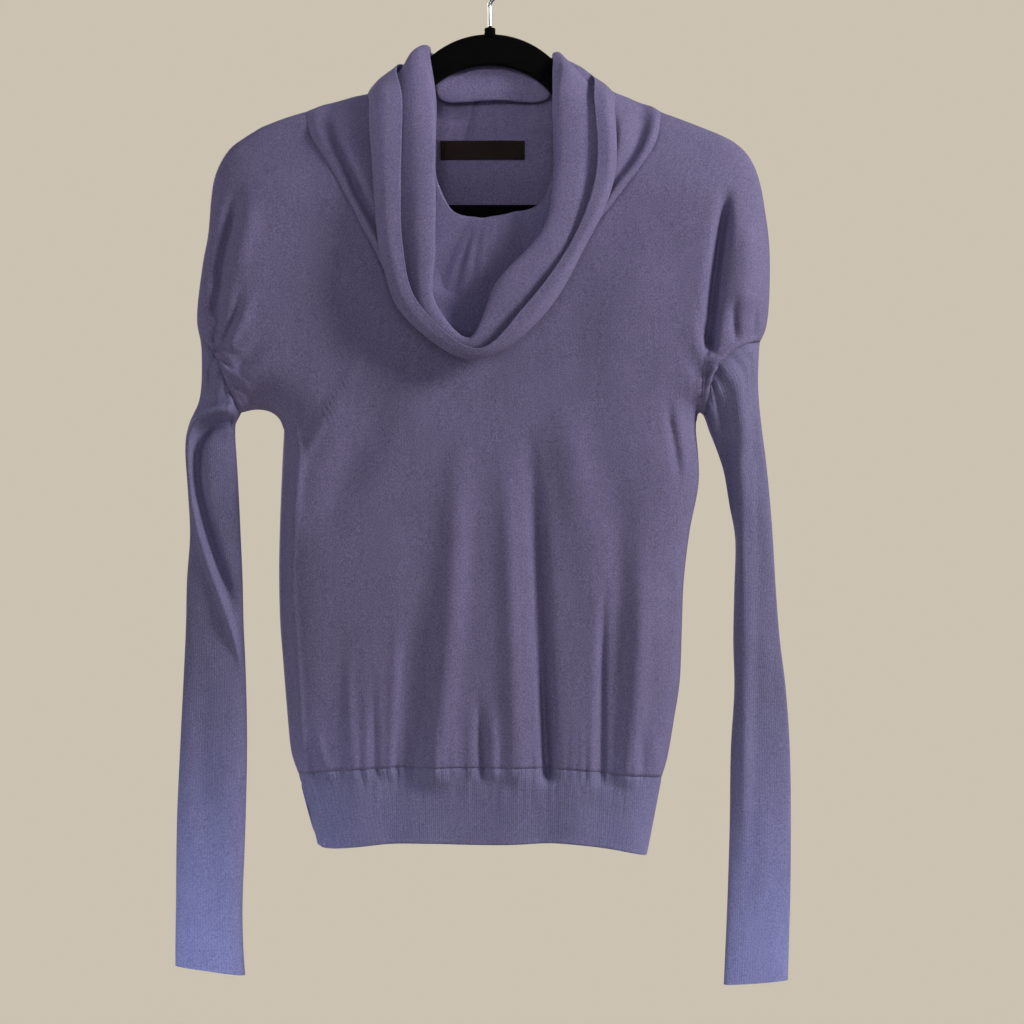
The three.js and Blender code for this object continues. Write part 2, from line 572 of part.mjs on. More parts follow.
/** Collar ring: neckline row from the panels, then the loops of the table. */
function cowl() {
  const ring = new Cloth();
  const around = STATIONS * AROUND_NECK;
  const loops = COLLAR_LOOPS.map(({ rows }) => new THREE.CatmullRomCurve3(
    rows.map(([across, down, front]) => new THREE.Vector3(mmAcross(across), -front, mmDown(down))),
    true, 'centripetal'));
  const columns = [];
  const frontNormals = seamNormals('front', neckline('front'));
  const backNormals = seamNormals('back', neckline('back'));
  for (let k = 0; k < around; k += 1) {
    const station = k / AROUND_NECK;
    const front = station >= LEFT_POINT && station <= RIGHT_POINT;
    const seam = onPanel(front ? 'front' : 'back', neckAt(station));
    const ends = station === LEFT_POINT || station === RIGHT_POINT;
    if (ends) seam.y = 0;
    const fromLeft = LEFT_POINT * AROUND_NECK - k;
    const normal = front ? frontNormals[-fromLeft]
      : backNormals[fromLeft >= 0 ? fromLeft : fromLeft + around];
    const rest = loops.map((loop) => loop.getPoint(k / around));
    const side = front ? 'front' : 'back';
    const before = onPanel(side, neckAt(ends ? station : station - 1 / AROUND_NECK));
    const toward = onPanel(side, neckAt(station + 1 / AROUND_NECK)).sub(before).cross(normal).normalize();
    if (ends) toward.copy(rest[0]).sub(seam).normalize();
    if (toward.dot(rest[0].clone().sub(seam)) < 0) toward.negate();
    seam.addScaledVector(toward, SEAM_GAP + (front && !ends ? BEND_SLACK : BACK_EASE));
    const profile = new THREE.CatmullRomCurve3([seam, ...rest], false, 'centripetal');
    const line = [];
    COLLAR_STEPS.forEach((steps, part) => {
      for (let step = 0; step < steps; step += 1) {
        line.push(profile.getPoint((part + step / steps) / COLLAR_STEPS.length));
      }
    });
    line.push(profile.getPoint(1));
    columns.push(line.map((point, row) => ring.add(point, row === 0 && ends, row === 0 ? normal : null)));
  }
  ring.grid(columns, false, false);
  ring.grid([columns[around - 1], columns[0]], false, false);
  return ring.solid(WALL);
}

/** Small label that follows the inner face of the back panel. */
function neckLabel() {
  const label = new Cloth();
  const inside = WALL / 2 + SEAM_GAP + LABEL.thick / 2;
  const grid = [];
  for (let i = 0; i <= 3; i += 1) {
    grid.push([]);
    for (let j = 0; j <= 8; j += 1) {
      const point = flat([
        THREE.MathUtils.lerp(LABEL.left, LABEL.right, j / 8),
        THREE.MathUtils.lerp(LABEL.top, LABEL.low, i / 3)]);
      const place = onPanel('back', point);
      place.y -= inside;
      grid[i].push(label.add(place));
    }
  }
  label.grid(grid);
  return label.solid(LABEL.thick);
}

const wasm = await Module();
wasm.setup();

/** Manifold body of a three.js shape. */
function body(shape) {
  const index = new Map();
  const corners = [];
  const faces = [];
  const place = shape.attributes.position;
  const order = shape.index ? [...shape.index.array] : [...Array(place.count).keys()];
  for (const number of order) {
    const point = [place.getX(number), place.getY(number), place.getZ(number)];
    const key = point.map((value) => Math.round(value * 1000)).join();
    if (!index.has(key)) {
      index.set(key, corners.length / 3);
      corners.push(...point);
    }
    faces.push(index.get(key));
  }
  const kept = [];
  for (let k = 0; k < faces.length; k += 3) {
    const face = faces.slice(k, k + 3);
    if (new Set(face).size === 3) kept.push(...face);
  }
  return new wasm.Manifold(new wasm.Mesh({
    numProp: 3, vertProperties: new Float32Array(corners), triVerts: new Uint32Array(kept) }));
}

/** three.js shape of a manifold body. */
function shapeOf(solid) {
  const mesh = solid.getMesh();
  const shape = new THREE.BufferGeometry();
  shape.setAttribute('position', new THREE.Float32BufferAttribute(mesh.vertProperties, 3));
  shape.setIndex([...mesh.triVerts]);
  return shape;
}

// Arch of the hanger on the sheet: middle, radius and half angle of its outer and inner edges
const ARCH_OUTER = { across: SHEET_CENTRE, down: 124.5, radius: 90, reach: 1.02 };
const ARCH_INNER = { across: 489.5, down: 148.5, radius: 83, reach: 0.98 };
const ARCH_FACES = 8;
const BOSS_TOP = 28.3;
const BOSS_TALL = 8;

/** Sheet points along one edge of the arch, from the viewer's left to right. */
function arch({ across, down, radius, reach }) {
  return Array.from({ length: ARCH_FACES + 1 }, (_, k) => {
    const turn = (2 * k / ARCH_FACES - 1) * reach;
    return [across + radius * Math.sin(turn), down - radius * Math.cos(turn)];
  });
}

/** Hanger cut from a board: arch, arms, bottom bar and the boss of the hook. */
function hanger() {
  const outline = new THREE.Shape();
  const over = [
    ...[...ARM_LEFT].reverse(), ...arch(ARCH_OUTER), ...ARM_RIGHT,
    [HANGER_RIGHT - 3, 172], [HANGER_RIGHT, 190], [HANGER_RIGHT - 6, 207],
    [HANGER_RIGHT - 20, 219], [HANGER_RIGHT - 38, BAR_LOW],
  ];
  const under = [
    [HANGER_LEFT + 38, BAR_LOW], [HANGER_LEFT + 20, 219], [HANGER_LEFT + 6, 207],
    [HANGER_LEFT, 188], [HANGER_LEFT + 3, 168],
  ];
  const trace = (points) => new THREE.SplineCurve(points.map(flat)).getPoints(points.length * 2);
  outline.setFromPoints([...trace(over), ...trace([...under, ARM_LEFT[6]]).slice(0, -1)]);
  const window = [
    [250, 192], [242, 182], [240, 170], [247, 160], [262, 150], [308, 134], [372, 117], [404, 109],
    ...arch(ARCH_INNER), [576, 109], [608, 117], [668, 134], [716, 151], [730, 160], [738, 170], [738, 182], [730, 192],
  ];
  const hole = [...trace(window), ...[[712, BAR_TOP], [268, BAR_TOP]].map(flat)];
  outline.holes.push(new THREE.Path(hole.reverse()));
  const board = new THREE.ExtrudeGeometry(outline, {
    depth: HANGER_THICK - 2 * HANGER_ROUND, bevelEnabled: true, bevelThickness: HANGER_ROUND,
    bevelSize: HANGER_ROUND, bevelOffset: -HANGER_ROUND, bevelSegments: 2, curveSegments: 1,
  });
  board.rotateX(Math.PI / 2);
  board.translate(0, HANGER_THICK / 2 - HANGER_ROUND, 0);
  const boss = new THREE.CylinderGeometry(BOSS_RADIUS, BOSS_RADIUS + 0.6, BOSS_TALL, 14);
  boss.rotateX(Math.PI / 2);
  boss.translate(0, 0, mmDown(BOSS_TOP) - BOSS_TALL / 2);
  return shapeOf(body(board).add(body(boss)));
}

/** Wire hook: shank, crook and rounded tip. */
function hook() {
  const centre = -CROOK_RADIUS + WIRE_RADIUS;
  const path = [[0, mmDown(BOSS_TOP) + SEAM_GAP], [0, -50], [0, -42], [4.6, -36.6]];
  for (let angle = -45; angle <= 205; angle += 25) {
    const turn = THREE.MathUtils.degToRad(angle);
    path.push([CROOK_RADIUS * Math.cos(turn), centre + CROOK_RADIUS * Math.sin(turn)]);
  }
  const curve = new THREE.CatmullRomCurve3(
    path.map(([x, z]) => new THREE.Vector3(x, 0, z)), false, 'centripetal');
  const round = new THREE.Shape().absarc(0, 0, WIRE_RADIUS, 0, 2 * Math.PI);
  const wire = new THREE.ExtrudeGeometry(round, { steps: 32, curveSegments: 4, extrudePath: curve });
  const tip = new THREE.SphereGeometry(WIRE_RADIUS + 0.8, 10, 6);
  tip.translate(path.at(-1)[0], 0, path.at(-1)[1]);
  return shapeOf(body(wire).add(body(tip)));
}

const knit = cloth('lavender_knit', 0x6b6a92, 0.9);
const rib = cloth('lavender_rib', 0x666690, 0.9);
const group = new THREE.Group();
const pieces = [
  ['front', panel('front'), knit],
  ['back', panel('back'), knit],
  ['sleeve_left', sleeve(SLEEVE_LEFT, RIB_SEAM_LEFT, false), rib],
  ['sleeve_right', sleeve(SLEEVE_RIGHT, RIB_SEAM_RIGHT, true), rib],
  ['hem_band_front', hemBand('front'), rib],
  ['hem_band_back', hemBand('back'), rib],
  ['cowl', cowl(), knit],
  ['neck_label', neckLabel(), cloth('label_brown', 0x2a1c1a, 0.7)],
  ['hanger', hanger(), cloth('flocked_black', 0x0b0b0d, 0.95)],
];
for (const [name, shape, paint] of pieces) {
  const mesh = new THREE.Mesh(shape, paint.clone());
  mesh.material.name = paint.name;
  mesh.name = name;
  group.add(mesh);
}
const steel = new THREE.MeshStandardMaterial({ color: 0xb8b8bc, roughness: 0.25, metalness: 1 });
steel.name = 'hook_steel';
const hookMesh = new THREE.Mesh(hook(), steel);
hookMesh.name = 'hook';
group.add(hookMesh);

export default group;
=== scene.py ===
"""Cowl neck sweater on a flocked hanger, dressed over its solid frame."""

import logging
import math
from dataclasses import dataclass, field
from enum import Enum

import bmesh
import bpy
import numpy as np
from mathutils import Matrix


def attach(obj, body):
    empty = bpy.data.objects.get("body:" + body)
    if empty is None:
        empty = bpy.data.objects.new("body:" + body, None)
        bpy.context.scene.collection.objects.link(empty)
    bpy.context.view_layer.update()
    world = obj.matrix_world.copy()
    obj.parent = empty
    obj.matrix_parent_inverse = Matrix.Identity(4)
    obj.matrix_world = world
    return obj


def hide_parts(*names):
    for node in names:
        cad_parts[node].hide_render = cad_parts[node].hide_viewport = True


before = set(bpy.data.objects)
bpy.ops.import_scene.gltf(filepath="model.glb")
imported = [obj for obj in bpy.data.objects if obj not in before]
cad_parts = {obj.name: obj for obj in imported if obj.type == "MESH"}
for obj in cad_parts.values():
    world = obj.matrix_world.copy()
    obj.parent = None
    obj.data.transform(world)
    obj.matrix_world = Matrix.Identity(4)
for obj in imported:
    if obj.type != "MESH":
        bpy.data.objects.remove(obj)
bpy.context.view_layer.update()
LOG = logging.getLogger("sweater")
Array = np.ndarray

# Drawing sheet: points across and down in sheet units, of UNIT mm each, from the middle and the top
UNIT = 0.83
CENTRE = 490.0
TOP = 38.8
MM = 0.001


class Side(Enum):
    """Which half of the garment a panel belongs to."""

    FRONT = "front"
    BACK = "back"


class Hand(Enum):
    """Viewer's left or right."""

    LEFT = "left"
    RIGHT = "right"


SHOULDER = {
    Hand.LEFT: [[308, 112], [285, 119], [262, 128], [245, 138.5], [231, 149], [221, 164], [215, 180]],
    Hand.RIGHT: [[661, 113], [688, 123], [716, 134], [732, 142], [745, 153], [754, 168], [760, 187]],
}
OVERARM = {
    Hand.LEFT: [[215, 180], [212, 200], [209, 235], [204, 262], [199, 300], [198, 322], [201, 338]],
    Hand.RIGHT: [[760, 187], [764, 210], [768, 240], [769, 270], [768, 305], [765, 328], [759, 342]],
}
RIB_SEAM = {
    Hand.LEFT: [[201, 338], [212, 347], [219, 357], [228, 378], [241, 412]],
    Hand.RIGHT: [[759, 342], [739, 348], [722, 360], [711, 378], [704, 415]],
}
UNDERARM = {
    Hand.LEFT: [[241, 412], [256, 409], [270, 411], [280, 418.5], [285, 430]],
    Hand.RIGHT: [[704, 415], [700, 412], [696.5, 416], [695, 430]],
}
SIDE_SEAM = {
    Hand.LEFT: [[285, 430], [283, 470], [281, 520], [280, 570], [281, 620], [284, 660], [288, 710],
                [292, 750], [299, 772]],
    Hand.RIGHT: [[695, 430], [698, 480], [689, 530], [683, 580], [681, 630], [679, 680], [673, 720],
                 [667, 755], [661, 776]],
}
COLUMN = {
    Hand.LEFT: [[262, 128], [268, 200], [272, 300], [276, 380], [285, 430]],
    Hand.RIGHT: [[716, 134], [708, 200], [702, 300], [697, 380], [695, 430]],
}
SLEEVE_SIDE = {
    Hand.LEFT: [[201, 338], [203, 360], [200, 402], [190, 430], [186, 600]],
    Hand.RIGHT: [[759, 342], [757, 378], [761, 430], [776, 600]],
}
HEM_SIDE = {
    Hand.LEFT: [[299, 772], [309, 805], [318, 843]],
    Hand.RIGHT: [[661, 776], [654, 815], [646, 854]],
}
HEM_SEAM = [[299, 772], [347, 767.5], [406, 764.5], [490, 764.5], [560, 766], [622, 772], [661, 776]]
HEM_EDGE = [[318, 843], [336, 845.5], [400, 839.5], [490, 841], [560, 839.5], [610, 845.5], [646, 854]]
# Rows of place down the sheet, and depth in mm at the front and at the back
FULLNESS = [[60, 20, 16], [250, 26, 18], [430, 27, 18], [600, 25, 17], [770, 21, 15], [850, 18, 13]]
ROUND_SHOULDER, ROUND_OVERARM, ROUND_SIDE = 120.0, 42.0, 46.0
OVERARM_START, OVERARM_FULL = 120.0, 230.0
RIPPLE_TONES, RIPPLE_SPREAD, RIPPLE_SHIFT = 5, 0.45, 6.28
CURVE_POINTS, SHORTEST_STEP, TINY = 600, 1e-3, 1e-9
WELD_CELLS, JOIN_REACH = 200, 2e-5
POINT = 0.01  # Radius in mm of a ring that closes to a point
GATHER_SEED = {Side.FRONT: 3, Side.BACK: 11}
RIPPLE_SEED = {Side.FRONT: 21, Side.BACK: 31, Hand.LEFT: 41, Hand.RIGHT: 43}


@dataclass(frozen=True)
class Fold:
    """Soft ridge or trough along a path on the sheet.

    Half width and height are in mm; head and tail are the shares of the path over which it grows and dies.
    """

    path: list[list[float]]
    half: float
    height: float
    head: float = 0.45
    tail: float = 0.0


FOLDS = {
    Side.FRONT: [
        # puffs and their grooves
        Fold([[246, 180], [236, 215], [225, 262], [217, 325]], 6.5, -10, 0.35, 0.1),
        Fold([[725, 185], [719, 235], [712, 285], [706, 345]], 5.5, -12, 0.25, 0.0),
        Fold([[228, 200], [214, 255], [206, 310]], 10, 5, 0.3, 0.2),
        Fold([[746, 210], [744, 260], [738, 320]], 13, 5, 0.3, 0.2),
        Fold([[262, 200], [250, 240], [238, 285]], 8, 3, 0.3, 0.3),
        Fold([[217, 352], [222, 325], [231, 300]], 4, -4.5, 0.05, 0.7),
        Fold([[733, 343], [731, 318], [734, 292]], 3.5, -4, 0.05, 0.7),
        Fold([[752, 340], [752, 318], [757, 300]], 3, -3, 0.05, 0.7),
        # fans from the underarms
        Fold([[232, 352], [250, 318], [262, 285]], 4.5, 3.2, 0.1, 0.6),
        Fold([[226, 350], [240, 315], [247, 280]], 3.5, -3.2, 0.1, 0.6),
        Fold([[238, 372], [262, 350], [285, 325]], 5, -3.4, 0.1, 0.7),
        Fold([[242, 388], [268, 372], [300, 352]], 6, 3.2, 0.1, 0.7),
        Fold([[246, 402], [272, 394], [296, 402]], 4.5, -3, 0.1, 0.5),
        Fold([[712, 360], [700, 330], [690, 300]], 4, -2.8, 0.1, 0.7),
        Fold([[706, 385], [688, 360], [668, 340]], 5, -2.6, 0.1, 0.7),
        Fold([[704, 400], [684, 388], [662, 384]], 5, 2.4, 0.1, 0.7),
        # middle of the body
        Fold([[524, 400], [532, 470], [537, 552], [541, 650], [547, 768]], 7.5, -7.5),
        Fold([[541, 640], [547, 768]], 3.5, -4.5, 0.6),
        Fold([[466, 405], [459, 480], [455, 560], [449, 640], [437, 768]], 11, 6.5, 0.4),
        Fold([[428, 540], [417, 650], [405, 768]], 17, -5, 0.6),
        Fold([[500, 420], [508, 520], [512, 640], [516, 768]], 8, 4.5, 0.45),
        Fold([[478, 680], [482, 768]], 3.5, -4, 0.7),
        Fold([[492, 690], [495, 768]], 4, 2.8, 0.7),
        # right part
        Fold([[560, 395], [572, 470], [580, 570]], 16, 4.5, 0.4, 0.5),
        Fold([[604, 560], [601, 650], [600, 768]], 4, -5, 0.55),
        Fold([[618, 455], [618, 600], [612, 768]], 12, -4.5, 0.45),
        Fold([[640, 540], [636, 660], [628, 768]], 9, 5, 0.5),
        Fold([[663, 398], [671, 440], [679, 492]], 3.5, -3.2, 0.3, 0.4),
        Fold([[671, 398], [681, 445], [686, 490]], 4, 2.4, 0.3, 0.4),
        Fold([[660, 560], [668, 600], [665, 650]], 6, -2.4, 0.3, 0.4),
        Fold([[640, 715], [642, 772]], 3.5, -2.6, 0.6),
        Fold([[652, 720], [655, 775]], 4, 2.6, 0.6),
        # left side seam, rolled to the front
        Fold([[264, 409], [283, 419], [297, 433], [302, 453], [296, 525], [294, 579], [299, 655],
              [302.5, 723], [308, 768]], 3.2, 3.4, 0.08, 0.0),
        Fold([[309, 770], [319, 807], [326, 846]], 2.4, 2.4, 0.05),
        Fold([[303, 770], [313, 807], [320, 846]], 3, -5, 0.05),
        Fold([[284, 436], [289, 470], [287, 525], [286, 579], [290, 655], [294, 723], [300, 768]],
             5, -6, 0.1, 0.0),
        # left part
        Fold([[374, 350], [338, 405], [303, 470], [299, 540]], 4.5, 3.4, 0.2, 0.4),
        Fold([[404, 374], [372, 430], [340, 490], [322, 570]], 17, -6, 0.3, 0.4),
        Fold([[300, 410], [298, 480], [295, 570]], 8, 3, 0.3, 0.4),
        Fold([[345, 590], [338, 680], [332, 768]], 22, -3.5, 0.6),
        Fold([[352, 620], [352, 700], [356, 768]], 4, 2, 0.6),
        Fold([[402, 590], [396, 680], [392, 768]], 4.5, 2.6, 0.6),
        Fold([[375, 660], [377, 768]], 3.5, -2, 0.6),
        Fold([[306, 735], [316, 770]], 4, -2.6, 0.5),
        Fold([[318, 725], [330, 770]], 4, 2.2, 0.5),
        # chest
        Fold([[300, 180], [330, 300], [360, 400]], 30, -2.5, 0.3, 0.3),
        Fold([[640, 230], [620, 330], [600, 430]], 26, 2, 0.3, 0.3),
    ],
    Side.BACK: [
        Fold([[255, 170], [238, 230], [225, 320]], 9, -7, 0.3, 0.1),
        Fold([[727, 185], [716, 250], [704, 360]], 9, -7, 0.3, 0.1),
        Fold([[218, 350], [226, 322], [240, 296]], 4, -3.5, 0.05, 0.7),
        Fold([[741, 345], [738, 318], [730, 294]], 4, -3.5, 0.05, 0.7),
        Fold([[240, 380], [268, 356], [300, 332]], 5.5, 2.8, 0.1, 0.7),
        Fold([[706, 388], [684, 360], [658, 338]], 5.5, 2.8, 0.1, 0.7),
        Fold([[380, 170], [440, 196], [490, 202], [545, 195], [600, 170]], 14, 3, 0.3, 0.3),
        Fold([[400, 215], [450, 238], [520, 240], [580, 214]], 10, -2.5, 0.3, 0.3),
        Fold([[430, 400], [440, 600], [436, 768]], 11, -5),
        Fold([[560, 380], [548, 560], [552, 768]], 10, -5.5),
        Fold([[362, 520], [368, 768]], 9, 3.6),
        Fold([[398, 640], [402, 768]], 4.5, -3, 0.6),
        Fold([[625, 500], [612, 768]], 9, -4),
        Fold([[500, 520], [496, 768]], 11, 4),
        Fold([[585, 560], [584, 768]], 8, 3.2),
        Fold([[470, 690], [468, 768]], 4, -2.6, 0.6),
        Fold([[330, 410], [348, 470], [352, 540]], 9, -3, 0.3, 0.4),
        Fold([[660, 400], [640, 470], [634, 540]], 8, -3, 0.3, 0.4),
        Fold([[310, 660], [322, 768]], 6, 2.4),
        Fold([[655, 680], [648, 770]], 5, 2.4),
    ],
}

SLEEVE_FOLDS = {
    Hand.LEFT: [
        Fold([[243, 411], [222, 412], [203, 418], [192, 433], [188.5, 455], [190, 480], [195, 510],
              [204, 545], [216, 580], [230, 620], [240, 655], [245, 690]], 2.8, 5.5, 0.04, 0.25),
        Fold([[240, 421], [222, 423], [208, 429], [200, 442], [198, 462], [199, 487], [205, 517], [214, 549],
              [225, 583], [237, 622]], 5.5, -8, 0.04, 0.25),
        Fold([[216, 352], [214, 380], [206, 402]], 4, -3, 0.1, 0.5),
        Fold([[232, 384], [222, 396], [210, 404]], 4, 2, 0.1, 0.5),
        Fold([[205, 640], [203, 760], [206, 880]], 9, -1.6, 0.3, 0.3),
        Fold([[226, 720], [228, 830], [226, 940]], 7, 1.4, 0.3, 0.3),
    ],
    Hand.RIGHT: [
        Fold([[728, 352], [737, 395], [740, 460], [741, 560], [742, 680], [742, 800], [741, 900]], 6.5, 4.5,
             0.05, 0.3),
        Fold([[711, 372], [720, 420], [728, 480], [732, 560], [733, 660]], 4.5, -3, 0.1, 0.3),
        Fold([[768, 560], [774, 650], [776, 760]], 8, -1.5, 0.3, 0.3),
        Fold([[762, 760], [760, 850], [760, 930]], 8, 1.2, 0.3, 0.3),
    ],
}

NECK = [[490, 137], [395, 134], [308, 112], [313, 138], [339, 182], [372, 244], [408, 305],
        [478, 340], [545, 300], [586, 240], [620, 196], [652, 150], [661, 113], [575, 134]]
LEFT_POINT, RIGHT_POINT, STATIONS = 2, 12, 14
# Faces between two neckline points, and samples between them where only a distance is taken
NECK_FACES = {Side.FRONT: 16, Side.BACK: 30}
NECK_SAMPLES = 12

# Collar: one loop round the neck for each row of the section, from the seam to the free edge.
# Each point is its place on the sheet and its depth in mm towards the front.
COLLAR = {
    "ridge by the seam": [
        [490, 132, -17], [398, 130, -16], [320, 107, 1], [321, 136, 18], [345, 181, 26], [377, 242, 29],
        [412, 301, 29], [479, 333, 28], [543, 296, 28.5], [583, 237, 27], [615, 193, 26],
        [646, 149, 19], [652, 108, 1], [574, 130, -16.5]],
    "dip behind it": [
        [490, 126, -18.5], [404, 126, -17.5], [336, 103, 0], [334, 135, 12], [354, 181, 20], [384, 241, 25],
        [419, 297, 26], [480, 322, 25.5], [540, 290, 26], [579, 236, 25], [609, 190, 22],
        [636, 147, 13], [640, 104, 0], [572, 125, -18]],
    "second ridge": [
        [490, 120, -19.5], [411, 120, -18], [354, 98, 1], [348, 129, 20], [364, 180, 26], [392, 240, 26],
        [427, 291, 25], [481, 308, 24], [536, 282, 24.5], [573, 233, 24], [603, 187, 24],
        [623, 142, 20], [626, 98, 1], [570, 118, -18.5]],
    "standing part": [
        [490, 112, -20], [420, 112, -18], [382, 90, 0], [371, 116, 15], [394, 181, 20], [412, 240, 20],
        [440, 282, 19], [482, 292, 19], [530, 272, 19], [562, 230, 19], [592, 190, 19],
        [614, 116, 15], [608, 90, 0], [566, 108, -17]],
    "under the top fold": [
        [490, 88, -17], [446, 84, -16], [408, 66, -1], [405, 110, 17], [416, 182, 19], [436, 222, 18],
        [459, 246, 17], [487, 250, 17], [523, 238, 17], [550, 216, 18], [572, 184, 19],
        [582, 108, 17], [580, 68, -1], [540, 82, -16]],
    "top fold": [
        [490, 98, -8], [440, 96, -9], [429, 48, -1], [437, 108, 18], [437, 182, 21], [453, 215, 21],
        [473, 221, 21], [491, 222, 21], [516, 216, 21], [538, 209, 21], [553, 180, 21],
        [552, 104, 18], [553, 54, -1], [548, 94, -10]],
    "crease under the roll": [
        [490, 82, -5.5], [446, 76, -7], [424, 46, 0], [436, 108, 23], [428, 183, 24], [429, 248, 23],
        [431, 310, 24], [473, 349, 29], [507, 294, 24], [553, 240, 22], [560, 181, 23],
        [556, 105, 24], [558, 53, 0], [541, 74, -7]],
    "edge of the roll": [
        [490, 70, -7.5], [448, 61, -11], [418, 48, 1], [434, 108, 33], [436, 183, 37], [437, 248, 42],
        [437, 308, 45], [470, 344, 46], [498, 288, 45], [543, 236, 42], [555, 181, 37],
        [557, 105, 33], [563, 57, 1], [539, 61, -11]],
    "inner roll": [
        [490, 62, -12], [450, 55, -14], [413, 53, 2], [421, 109, 36], [422, 183, 39], [424, 250, 45],
        [429, 322, 48], [468, 352, 47], [511, 308, 48], [559, 249, 45], [574, 183, 39],
        [571, 107, 36], [569, 63, 2], [538, 55, -14]],
    "valley": [
        [490, 74, -25], [446, 68, -24], [401, 73, 1], [398, 111, 31], [399, 184, 34], [403, 253, 39],
        [414, 319, 43], [473, 357, 44], [526, 324, 44], [580, 253, 39], [600, 186, 33],
        [597, 110, 31], [588, 84, 1], [540, 69, -24]],
    "outer fold": [
        [490, 104, -30], [430, 100, -29], [373, 92, 0], [373, 113, 27], [376, 183, 34], [384, 256, 40],
        [406, 318, 45], [474, 364, 46], [537, 326, 46], [582, 254, 40], [611, 190, 33],
        [612, 112, 27], [611, 97, 0], [556, 101, -29]],
    "outer roll": [
        [490, 98, -36], [434, 90, -35], [383, 79, 1], [384, 111, 36], [386, 182, 42], [392, 255, 48],
        [411, 314, 51], [476, 361, 50], [532, 322, 52], [578, 251, 48], [606, 188, 41],
        [604, 108, 36], [601, 84, 1], [552, 91, -35]],
    "free edge": [
        [490, 80, -34], [440, 72, -33], [399, 66, 3], [405, 109, 37], [404, 180, 42], [406, 251, 48],
        [420, 307, 51], [479, 354, 53], [524, 313, 53], [571, 247, 47], [594, 181, 41],
        [592, 107, 37], [590, 76, 3], [546, 73, -33]],
}

# Ribbed sleeves: outer edge, inner edge, depth, crease place, crease height
SLEEVE_ROWS = {
    Hand.LEFT: [
        [203, 352, 238, 418, 30, 0.3, 0], [203, 380, 235, 424, 25, 0.15, 1],
        [200, 402, 234.5, 433, 20, 0.12, 2], [190, 425, 235, 444, 14, 0.12, 3],
        [186.5, 448, 236, 458, 13, 0.15, 3], [189, 490, 238, 492, 12, 0.2, 3],
        [191, 535, 240, 535, 11.5, 0.35, 3], [188, 580, 242, 580, 11, 0.62, 3],
        [187, 625, 243, 625, 11, 0.85, 3], [185, 670, 245, 670, 11, 0.9, 2],
        [181.5, 740, 246.5, 740, 11, 0.85, 2], [178, 820, 245, 820, 10.5, 0.85, 2],
        [177, 900, 242, 900, 10, 0.8, 1], [176.5, 940, 242.5, 942, 10, 0.8, 0],
        [176.5, 965, 244.5, 974.5, 10, 0.8, 0],
    ],
    Hand.RIGHT: [
        [758, 352, 707, 422, 30, 0.3, 0], [757, 378, 710, 431, 25, 0.25, 1],
        [758, 402, 714.5, 442, 20, 0.3, 2], [761, 430, 720, 457, 14, 0.35, 3],
        [765, 460, 725, 474, 13, 0.4, 3], [769, 500, 730, 504, 12, 0.5, 3],
        [772, 540, 736, 540, 11, 0.58, 3], [775, 590, 735, 590, 11, 0.62, 3],
        [779, 640, 734, 640, 11, 0.66, 3], [785, 690, 735, 690, 11, 0.72, 2.5],
        [789, 750, 731.5, 750, 11, 0.78, 2], [790, 820, 730.5, 820, 10.5, 0.8, 2],
        [789.5, 890, 728.5, 890, 10, 0.8, 1], [788, 945, 726, 950, 10, 0.8, 0],
        [787, 979, 724.5, 984, 10, 0.8, 0],
    ],
}

ARM = {
    Hand.LEFT: [[402, 95], [385, 100], [350, 107.5], [308, 116], [262, 132], [248, 141.8], [235, 153]],
    Hand.RIGHT: [[577, 95], [600, 102], [628, 109], [661, 117.3], [714, 138], [728, 146.5], [740, 158]],
}


# Curves
def to_mm(points: Array | list) -> Array:
    """Sheet points to mm: x = unit * (across - centre), z = -top - unit * down.

    Args:
        points: rows of across and down.

    Returns:
        The same rows as x and z.
    """
    rows = np.asarray(points, float)
    out = rows.copy()
    out[..., 0] = (rows[..., 0] - CENTRE) * UNIT
    out[..., 1] = -TOP - rows[..., 1] * UNIT
    return out


def spline(points: Array, at: Array, closed: bool = False, even: bool = True) -> Array:
    """Cubic through the points, p(t) = c0 + c1 t + c2 t^2 + c3 t^3 on each span.

    Args:
        points: one row a point.
        at: places from 0 to 1, equal steps for equal numbers of points.
        closed: whether the last point leads back to the first.
        even: tangents from the neighbours alone, else weighted by the root of their distance.

    Returns:
        One row for each place.
    """
    points = np.asarray(points, float)
    count = len(points)
    spans = count if closed else count - 1
    place = np.clip(np.asarray(at, float), 0, 1) * spans
    cell = np.minimum(place.astype(int), spans - 1)
    share = (place - cell).reshape(-1, *[1] * (points.ndim - 1))
    if closed:
        p0, p1, p2, p3 = (points[(cell + k) % count] for k in (-1, 0, 1, 2))
    elif even:
        p0, p1, p2, p3 = (points[np.clip(cell + k, 0, count - 1)] for k in (-1, 0, 1, 2))
    else:
        wide = np.concatenate([2 * points[:1] - points[1:2], points, 2 * points[-1:] - points[-2:-1]])
        p0, p1, p2, p3 = (wide[cell + k] for k in (0, 1, 2, 3))
    if even:
        first, second = (p2 - p0) / 2, (p3 - p1) / 2
    else:
        d0, d1, d2 = (np.maximum(np.sqrt(np.linalg.norm(b - a, axis=-1, keepdims=True)), SHORTEST_STEP)
                      for a, b in ((p0, p1), (p1, p2), (p2, p3)))
        first = ((p1 - p0) / d0 - (p2 - p0) / (d0 + d1) + (p2 - p1) / d1) * d1
        second = ((p2 - p1) / d1 - (p3 - p1) / (d1 + d2) + (p3 - p2) / d2) * d1
    c2 = -3 * p1 + 3 * p2 - 2 * first - second
    c3 = 2 * p1 - 2 * p2 + first + second
    return p1 + share * (first + share * (c2 + share * c3))


